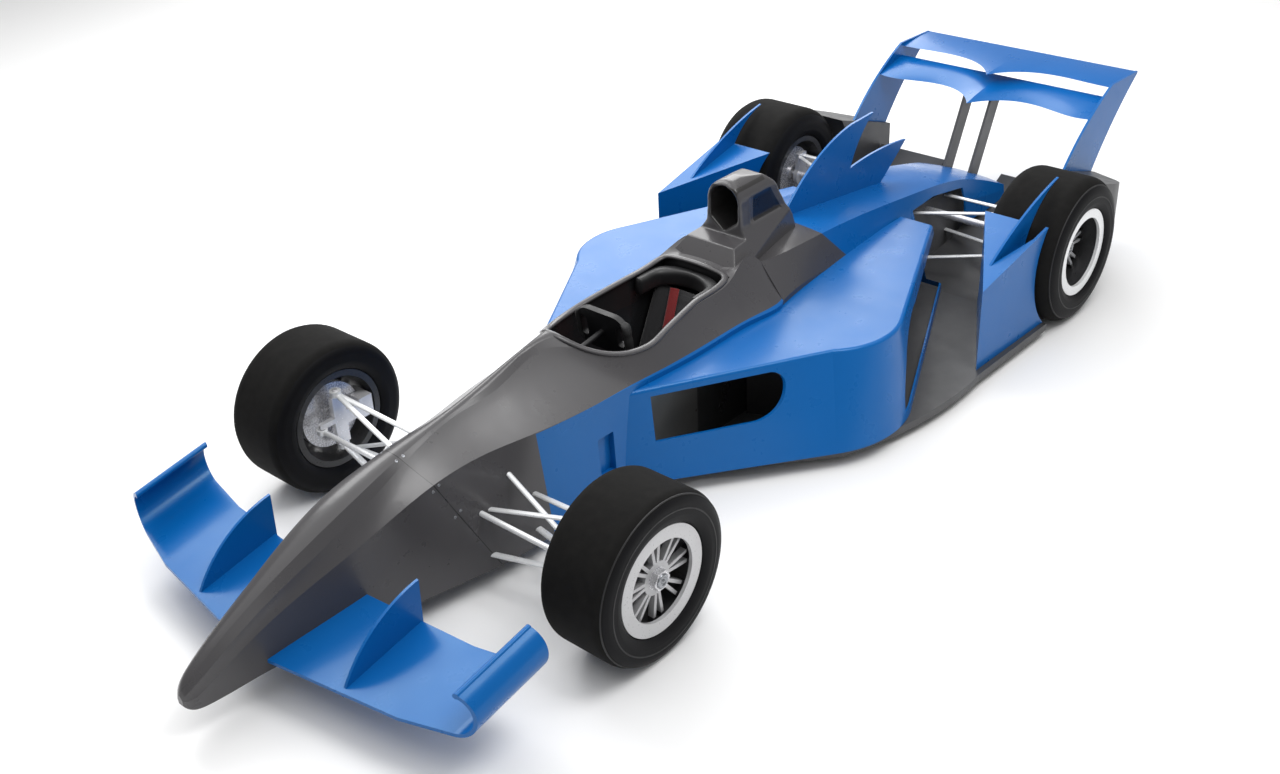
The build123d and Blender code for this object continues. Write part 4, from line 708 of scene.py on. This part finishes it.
# Sliders: three bars across each shoulder belt, profile rows of radius and distance along
SLIDER_ROW = 4
SLIDER_LIFT = 0.004
SLIDER_STEPS = (-0.016, 0.0, 0.016)
SLIDER_HALF = 0.030
SLIDER_PROFILE = [(0.0015, 0.0), (0.0045, 0.002), (0.0045, 0.058), (0.0015, 0.060)]
BUCKLE_PROFILE = [(0.012, -0.004), (0.031, -0.003), (0.033, 0.004), (0.031, 0.010), (0.024, 0.013),
                  (0.022, 0.011), (0.010, 0.011), (0.009, 0.016), (0.003, 0.017)]
TONGUES = 5
TONGUE_REACH = (0.028, 0.040, 0.052)
TONGUE_WIDTH = 0.022
TONGUE_THICK = 0.004


def buckle_end(across):
    """The place just under the buckle's face where a belt ends."""
    return BUCKLE_PLACE + ACROSS * across - BUCKLE_AXIS * BUCKLE_DIP


def make_harness():
    """The belts with their sliders, and the buckle with a tongue for each belt."""
    line = smooth_path(SEAT_LINE, BELT_STEPS)
    lifted = [point + seat_normal(line, k) * BELT_LIFT for k, point in enumerate(line)]
    slider_run = (line[SLIDER_ROW + 1] - line[SLIDER_ROW - 1]).normalized()
    belts = []
    sliders = []
    for side in (1, -1):
        shoulder = []
        for k, point in enumerate(lifted[:SHOULDER_ROWS]):
            across = SHOULDER_Y - SHOULDER_CLOSING * k / (SHOULDER_ROWS - 1)
            shoulder.append(point + ACROSS * (side * across))
        belts.append(ribbon([*shoulder, buckle_end(side * SHOULDER_END_Y)], ACROSS, SHOULDER_WIDTH))
        lap = [Vector((WALL_X + x, side * y, z)) for x, y, z in LAP_LINE]
        belts.append(ribbon([*lap, buckle_end(side * LAP_END_Y)], LAP_ACROSS, LAP_WIDTH))
        place = shoulder[SLIDER_ROW] + seat_normal(line, SLIDER_ROW) * SLIDER_LIFT
        for step in SLIDER_STEPS:
            start = place + slider_run * step - ACROSS * SLIDER_HALF
            sliders.append(turned(SLIDER_PROFILE, start, ACROSS, around=10))
    crotch = [BUCKLE_PLACE + CROTCH_START, *[lifted[k] for k in CROTCH_ROWS]]
    belts.append(ribbon(crotch, ACROSS, CROTCH_WIDTH))
    piece("harness_belts", *joined(belts), belt_red, "chassis", "seat_black")
    piece("harness_sliders", *joined(sliders), steel, "chassis", "steel")
    buckle = [turned(BUCKLE_PROFILE, BUCKLE_PLACE, BUCKLE_AXIS)]
    for step in range(TONGUES):
        angle = math.radians(90 + 360 / TONGUES * step)
        out = ACROSS * math.cos(angle) + ACROSS.cross(BUCKLE_AXIS) * math.sin(angle)
        tongue = [BUCKLE_PLACE + out * reach for reach in TONGUE_REACH]
        buckle.append(ribbon(tongue, BUCKLE_AXIS.cross(out), TONGUE_WIDTH, TONGUE_THICK, steps=3))
    piece("harness_buckle", *joined(buckle), steel, "chassis", "steel")


# Steering wheel: grips, a display, knobs and a row of shift lights on the wheel's plate
COLUMN = WHEEL_AXIS if WHEEL_AXIS.x > 0 else -WHEEL_AXIS
WHEEL_UP = upright(COLUMN.cross(ACROSS).normalized())
# Grips: place across, place up, radius
GRIP_ROWS = [(0.108, 0.072, 0.010), (0.122, 0.060, 0.016), (0.127, 0.036, 0.017), (0.126, 0.012, 0.0155),
             (0.127, -0.012, 0.0165), (0.126, -0.036, 0.0155), (0.120, -0.060, 0.0165),
             (0.106, -0.073, 0.010)]
GRIP_STEPS = 5
GRIP_AROUND = 16
GRIP_FLATNESS = 0.9
GRIP_DEPTH = 1.25
GRIP_SET_BACK = 0.013
# Display: outline across and up, and rings of the outline's scale and how proud it stands
DISPLAY_OUTLINE = [(-0.052, 0.012), (-0.046, 0.006), (0.046, 0.006), (0.052, 0.012), (0.052, 0.052),
                   (0.046, 0.058), (-0.046, 0.058), (-0.052, 0.052)]
DISPLAY_RINGS = [(1.0, 0.0), (1.0, 0.006), (0.95, 0.009), (0.86, 0.009), (0.84, 0.007)]
DISPLAY_MIDDLE = 0.032
# Knobs and lamps: profile rows of radius and height, and places across and up
KNOB_PROFILE = [(0.0085, 0.0), (0.0085, 0.004), (0.0060, 0.0055), (0.0060, 0.0105), (0.0048, 0.012),
                (0.001, 0.0115)]
RED_KNOBS = [(-0.068, 0.050), (0.068, 0.050), (-0.068, -0.052)]
GREY_KNOBS = [(0.068, -0.052), (-0.028, -0.022), (0.028, -0.022), (0.0, -0.050), (-0.034, -0.056),
              (0.034, -0.056)]
LAMP_PROFILE = [(0.0032, 0.0), (0.0032, 0.002), (0.0022, 0.0034), (0.0006, 0.004)]
LAMPS = 9
LAMP_PITCH = 0.011
LAMP_UP = 0.069


def on_wheel(across, up, proud):
    """A place on the steering wheel's face."""
    return WHEEL_PLACE + ACROSS * across + WHEEL_UP * up - COLUMN * proud


def make_wheel_controls():
    """What is mounted on the steering wheel's plate."""
    grips = []
    for side in (1, -1):
        rows = [Vector((side * across, up, radius)) for across, up, radius in GRIP_ROWS]
        path = smooth_path(rows, GRIP_STEPS)
        points = []
        for across, up, radius in path:
            for k in range(GRIP_AROUND):
                angle = 2 * math.pi * k / GRIP_AROUND
                out = side * radius * GRIP_FLATNESS * math.cos(angle)
                proud = radius * GRIP_DEPTH * math.sin(angle) - GRIP_SET_BACK
                points.append(on_wheel(across + out, up, proud))
        grips.append((points, tube_faces(len(path), GRIP_AROUND)))
    piece("wheel_grips", *joined(grips), grip_rubber, "steering_wheel", "control_black")
    points = []
    for scale, proud in DISPLAY_RINGS:
        for across, up in DISPLAY_OUTLINE:
            points.append(on_wheel(across * scale, DISPLAY_MIDDLE + (up - DISPLAY_MIDDLE) * scale, proud))
    faces = tube_faces(len(DISPLAY_RINGS), len(DISPLAY_OUTLINE))
    piece("wheel_display", points, faces, display_glass, "steering_wheel", "control_black", flat=True)
    for name, finish, places in (("wheel_buttons_red", button_red, RED_KNOBS),
                                 ("wheel_buttons_grey", knob_grey, GREY_KNOBS)):
        knobs = [turned(KNOB_PROFILE, on_wheel(across, up, 0.0), -COLUMN, around=20) for across, up in places]
        piece(name, *joined(knobs), finish, "steering_wheel", "control_black")
    lamps = []
    for k in range(LAMPS):
        place = on_wheel(LAMP_PITCH * (k - LAMPS // 2), LAMP_UP, 0.0)
        lamps.append(turned(LAMP_PROFILE, place, -COLUMN, around=12))
    piece("wheel_shift_lights", *joined(lamps), button_red, "steering_wheel", "control_black")


# Wheels: moulded rings on the tyre walls, valve stems and locking caps
# Name, axle, radii of the rings
WHEELS = [("front", FRONT_AXLE, (0.268, 0.312)), ("rear", REAR_AXLE, (0.268, 0.318))]
OUTSIDE = 1.5
RING_AROUND = 96
# Profile rows of radius, or radius beyond the ring's own, and distance out
RING_PROFILE = [(-0.0035, -0.003), (-0.0025, 0.0012), (0.0025, 0.0012), (0.0035, -0.003)]
VALVE_PROFILE = [(0.0065, -0.020), (0.0065, -0.006), (0.0050, -0.004), (0.0050, 0.006), (0.0062, 0.008),
                 (0.0062, 0.016), (0.0045, 0.018), (0.001, 0.018)]
CAP_PROFILE = [(0.027, -0.002), (0.028, 0.002), (0.024, 0.006), (0.016, 0.006), (0.014, 0.002),
               (0.008, 0.002), (0.006, 0.008), (0.001, 0.009)]
# The valve's distance in from the rim's edge, its depth behind the lip, and its direction forward and up
VALVE_INSET = 0.034
VALVE_DEPTH = 0.022
VALVE_FORWARD = 0.5
VALVE_UP = 0.866


def surface(node):
    """A node's mesh, for finding places on it."""
    mesh = NODES[node].data
    return BVHTree.FromPolygons([v.co for v in mesh.vertices], [p.vertices for p in mesh.polygons])


def outer_side(node, side):
    """How far across a node reaches, on its outer side."""
    low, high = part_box(node)
    return high.y if side > 0 else low.y


def make_wheel_details():
    """Rings, valve and cap for each wheel."""
    for stem, axle, radii in WHEELS:
        for hand, side in (("left", 1), ("right", -1)):
            body = f"{stem}_wheel_{hand}"
            wall = surface(f"{stem}_tyre_{hand}")
            out = Vector((0.0, side, 0.0))
            centre = Vector((axle.x, 0.0, axle.z))
            rings = []
            for radius in radii:
                hit = wall.ray_cast(centre + out * OUTSIDE + Vector((0.0, 0.0, radius)), -out)[0]
                profile = [(radius + wide, proud) for wide, proud in RING_PROFILE]
                points = turned(profile, centre + Vector((0.0, hit.y, 0.0)), out, RING_AROUND)[0]
                rings.append((points, tube_faces(len(profile), RING_AROUND, loop=True)))
            piece(f"{stem}_tyre_rings_{hand}", *joined(rings), ring_rubber, body, "tyre")
            rim_low, rim_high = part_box(f"{stem}_rim_{hand}")
            reach = (rim_high.z - rim_low.z) / 2 - VALVE_INSET
            lip = outer_side(f"{stem}_rim_{hand}", side)
            place = Vector((axle.x + reach * VALVE_FORWARD, lip - side * VALVE_DEPTH,
                            axle.z + reach * VALVE_UP))
            valve = turned(VALVE_PROFILE, place, out, around=14)
            piece(f"{stem}_valve_{hand}", *valve, black_plastic, body, "control_black")
            face = Vector((axle.x, outer_side(f"{stem}_hub_{hand}", side), axle.z))
            piece(f"{stem}_nut_cap_{hand}", *turned(CAP_PROFILE, face, out), cap_finish, body, "steel")


# Roll hoop: the hoop's own form with its upper edges rounded, as a moulded shell has them
HOOP_WELD = 0.00005
HOOP_VOXEL = 0.004
HOOP_ROUNDS = 24
HOOP_EASE = 0.5
HOOP_SHARP_Z = 0.725
HOOP_ROUND_Z = 0.765
# The throat's end wall, which closes the intake and takes painted shade on its front face: its two ends ahead
# of the front axle, and its arch
END_WALL_FRONT = -1.780
END_WALL_REAR = -1.845
END_WALL_RINGS = 9
END_WALL_HALF = 0.0735
ARCH_Z = 0.874
ARCH_STEPS = 16
END_WALL_SIDE_Z = 0.800
# The hoop's rear slope: place ahead of the front axle and height at its two ends
SLOPE_START = (-1.800, 0.948)
SLOPE_END = (-1.850, 0.905)


def throat_end():
    """A wall that closes the intake's throat, flush with the hoop's rear slope."""
    outline = []
    for k in range(ARCH_STEPS + 1):
        angle = math.pi * k / ARCH_STEPS
        outline.append((END_WALL_HALF * math.cos(angle), ARCH_Z + END_WALL_HALF * math.sin(angle)))
    outline += [(-END_WALL_HALF, END_WALL_SIDE_Z), (0.0, THROAT_LOW), (END_WALL_HALF, END_WALL_SIDE_Z)]
    fall = (SLOPE_END[1] - SLOPE_START[1]) / (SLOPE_START[0] - SLOPE_END[0])
    points = []
    for ring in range(END_WALL_RINGS):
        x = END_WALL_FRONT + (END_WALL_REAR - END_WALL_FRONT) * ring / (END_WALL_RINGS - 1)
        roof = SLOPE_START[1] + fall * max(0.0, SLOPE_START[0] - x)
        points.extend(Vector((FRONT_X + x, y, min(z, roof))) for y, z in outline)
    return points, tube_faces(END_WALL_RINGS, len(outline))


def make_hoop():
    """A copy of the hoop's mesh, remeshed evenly and smoothed above its base, where it stays sharp."""
    shell = NODES["roll_hoop"].data.copy()
    build = bmesh.new()
    build.from_mesh(shell)
    bmesh.ops.remove_doubles(build, verts=build.verts, dist=HOOP_WELD)
    points, faces = throat_end()
    corners = [build.verts.new(point) for point in points]
    for face in faces:
        build.faces.new([corners[index] for index in face])
    bmesh.ops.recalc_face_normals(build, faces=build.faces)
    build.to_mesh(shell)
    build.free()
    draft = bpy.data.objects.new("hoop_draft", shell)
    bpy.context.scene.collection.objects.link(draft)
    remesh = draft.modifiers.new("even", "REMESH")
    remesh.mode = "VOXEL"
    remesh.voxel_size = HOOP_VOXEL
    even = bpy.data.meshes.new_from_object(draft.evaluated_get(bpy.context.evaluated_depsgraph_get()))
    bpy.data.objects.remove(draft)
    build = bmesh.new()
    build.from_mesh(even)
    build.verts.ensure_lookup_table()
    rounding = HOOP_ROUND_Z - HOOP_SHARP_Z
    free = [min(1.0, max(0.0, (v.co.z - HOOP_SHARP_Z) / rounding)) for v in build.verts]
    near = [[edge.other_vert(v).index for edge in v.link_edges] for v in build.verts]
    points = [v.co.copy() for v in build.verts]
    faces = [tuple(v.index for v in face.verts) for face in build.faces]
    build.free()
    for _ in range(HOOP_ROUNDS):
        means = [sum((points[k] for k in ring), Vector()) / len(ring) for ring in near]
        points = [point.lerp(mean, HOOP_EASE * share) for point, mean, share in zip(points, means, free)]
    made = piece("hoop_shell", points, faces, hoop_grey, "chassis", "body_grey")
    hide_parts("roll_hoop")


# Trim: a rolled edge round the cockpit opening, and quarter-turn fasteners along the nose joint
OPENING_MIDDLE = Vector((WALL_X + 0.38, 0.0, 0.0))
OPENING_FLOOR = 0.50
# The search for the opening's edge: first place out, step, halvings of the last step, landing beyond the edge
SEARCH_START = 0.02
SEARCH_STEP = 0.01
SEARCH_HALVINGS = 8
SEARCH_LANDING = 0.004
EDGE_POINTS = 120
EDGE_AROUND = 12
EDGE_SMOOTHING = 2
EDGE_HALF_WIDTH = 0.015
EDGE_HALF_HEIGHT = 0.009
SKY = Vector((0.0, 0.0, 1.5))
UP = Vector((0.0, 0.0, 1.0))
# Fasteners: profile rows of radius and height, angles round the joint, distance from the joint
FASTENER_PROFILE = [(0.0062, -0.003), (0.0062, 0.0006), (0.0052, 0.0012), (0.0040, 0.0012), (0.0034, 0.0004),
                    (0.0008, 0.0004)]
JOINT_ANGLES = (8, 48, 82, 98, 132, 172)
JOINT_OFFSET = 0.016


def opening_edge(walls, angle):
    """The place where the cockpit opening's edge lies, looked for outward from its middle."""
    out = Vector((math.cos(angle), math.sin(angle), 0.0))

    def height(reach):
        hits = [wall.ray_cast(OPENING_MIDDLE + out * reach + SKY, -UP)[0] for wall in walls]
        return max(hit.z if hit else 0.0 for hit in hits)

    inner = SEARCH_START
    while height(inner + SEARCH_STEP) < OPENING_FLOOR:
        inner += SEARCH_STEP
    outer = inner + SEARCH_STEP
    for _ in range(SEARCH_HALVINGS):
        middle = (inner + outer) / 2
        if height(middle) < OPENING_FLOOR:
            inner = middle
        else:
            outer = middle
    place = OPENING_MIDDLE + out * outer
    return Vector((place.x, place.y, height(outer + SEARCH_LANDING)))


def make_cockpit_edge():
    """A flattened roll along the edge of the cockpit opening."""
    walls = [surface("survival_cell"), surface("roll_hoop")]
    line = [opening_edge(walls, 2 * math.pi * k / EDGE_POINTS) for k in range(EDGE_POINTS)]
    for _ in range(EDGE_SMOOTHING):
        line = [(line[k - 1] + line[k] * 2 + line[(k + 1) % EDGE_POINTS]) / 4 for k in range(EDGE_POINTS)]
    points = []
    for k, place in enumerate(line):
        run = (line[(k + 1) % EDGE_POINTS] - line[k - 1]).normalized()
        out = run.cross(UP).normalized()
        up = out.cross(run)
        for step in range(EDGE_AROUND):
            angle = 2 * math.pi * step / EDGE_AROUND
            wide = out * (EDGE_HALF_WIDTH * math.cos(angle))
            high = up * (EDGE_HALF_HEIGHT * math.sin(angle))
            points.append(place + wide + high)
    faces = tube_faces(EDGE_POINTS, EDGE_AROUND, loop=True)
    piece("cockpit_edge", points, faces, edge_grey, "chassis", "body_grey")


def make_fasteners():
    """A row of fasteners on each side of the nose joint."""
    found = []
    origin = Vector(NOSE_JOINT_POINT)
    upward = upright(ACROSS.cross(NOSE_JOINT_NORMAL))
    for node, offset in (("nose_cone", JOINT_OFFSET), ("survival_cell", -JOINT_OFFSET)):
        wall = surface(node)
        for degrees in JOINT_ANGLES:
            angle = math.radians(degrees)
            out = ACROSS * math.cos(angle) + upward * math.sin(angle)
            place, normal = wall.ray_cast(origin + NOSE_JOINT_NORMAL * offset + out, -out)[:2]
            found.append(turned(FASTENER_PROFILE, place, normal, around=14))
    piece("panel_fasteners", *joined(found), cap_finish, "chassis", "steel")


make_seat()
make_headrest()
make_harness()
make_wheel_controls()
make_wheel_details()
make_hoop()
make_cockpit_edge()
make_fasteners()


# Studio: pale floor, soft light, and a camera at the photograph's viewing angle
STUDIO_HALF = 60.0
WORLD_STRENGTH = 0.40
# Area lights: name, place, size in metres, power in watts
LIGHTS = [
    ("overhead", Vector((0.0, 0.0, 7.0)), 13.0, 620.0),
    ("back", Vector((-5.5, -5.0, 4.4)), 5.0, 320.0),
    ("right", Vector((0.25, -4.35, 4.9)), 3.0, 170.0),
    ("left", Vector((0.0, 2.9, 6.3)), 2.5, 150.0),
]
LIGHT_AIM = Vector((0.0, 0.0, 0.4))
CAMERA_PLACE = Vector((4.395, 3.549, 3.404))
CAMERA_AIM = Vector((0.709, 0.205, 0.426))
CAMERA_ROLL = -0.0484
CAMERA_LENS = 41.24
CAMERA_SENSOR = 36.0


def studio():
    """The floor, the even light of the surroundings, and the area lights."""
    corners = [(x * STUDIO_HALF, y * STUDIO_HALF, 0.0) for x, y in ((-1, -1), (1, -1), (1, 1), (-1, 1))]
    mesh = bpy.data.meshes.new("floor_plane")
    mesh.from_pydata(corners, [], [(0, 1, 2, 3)])
    plane = bpy.data.objects.new("floor_plane", mesh)
    bpy.context.scene.collection.objects.link(plane)
    graph = Graph("studio_floor")
    mesh.materials.append(graph.finish(graph.tint(STUDIO_WHITE, amount=0.01, scale=0.6), rough=0.8))
    world = bpy.data.worlds.new("studio")
    bpy.context.scene.world = world
    world.use_nodes = True
    background = world.node_tree.nodes["Background"]
    background.inputs["Color"].default_value = (1.0, 1.0, 1.0, 1.0)
    background.inputs["Strength"].default_value = WORLD_STRENGTH
    for name, place, size, power in LIGHTS:
        data = bpy.data.lights.new(name, "AREA")
        data.size = size
        data.energy = power
        lamp = bpy.data.objects.new(name, data)
        lamp.location = place
        lamp.rotation_euler = (LIGHT_AIM - place).to_track_quat("-Z", "Y").to_euler()
        bpy.context.scene.collection.objects.link(lamp)


def camera():
    """The camera that sees the car as the photograph does."""
    data = bpy.data.cameras.new("view")
    data.lens = CAMERA_LENS
    data.sensor_width = CAMERA_SENSOR
    data.sensor_fit = "HORIZONTAL"
    eye = bpy.data.objects.new("view", data)
    eye.location = CAMERA_PLACE
    eye.rotation_mode = "QUATERNION"
    turn = (CAMERA_AIM - CAMERA_PLACE).to_track_quat("-Z", "Y")
    eye.rotation_quaternion = turn @ Quaternion((0.0, 0.0, 1.0), CAMERA_ROLL)
    bpy.context.scene.collection.objects.link(eye)
    bpy.context.scene.camera = eye


studio()
camera()
bpy.context.scene.view_settings.view_transform = "Standard"
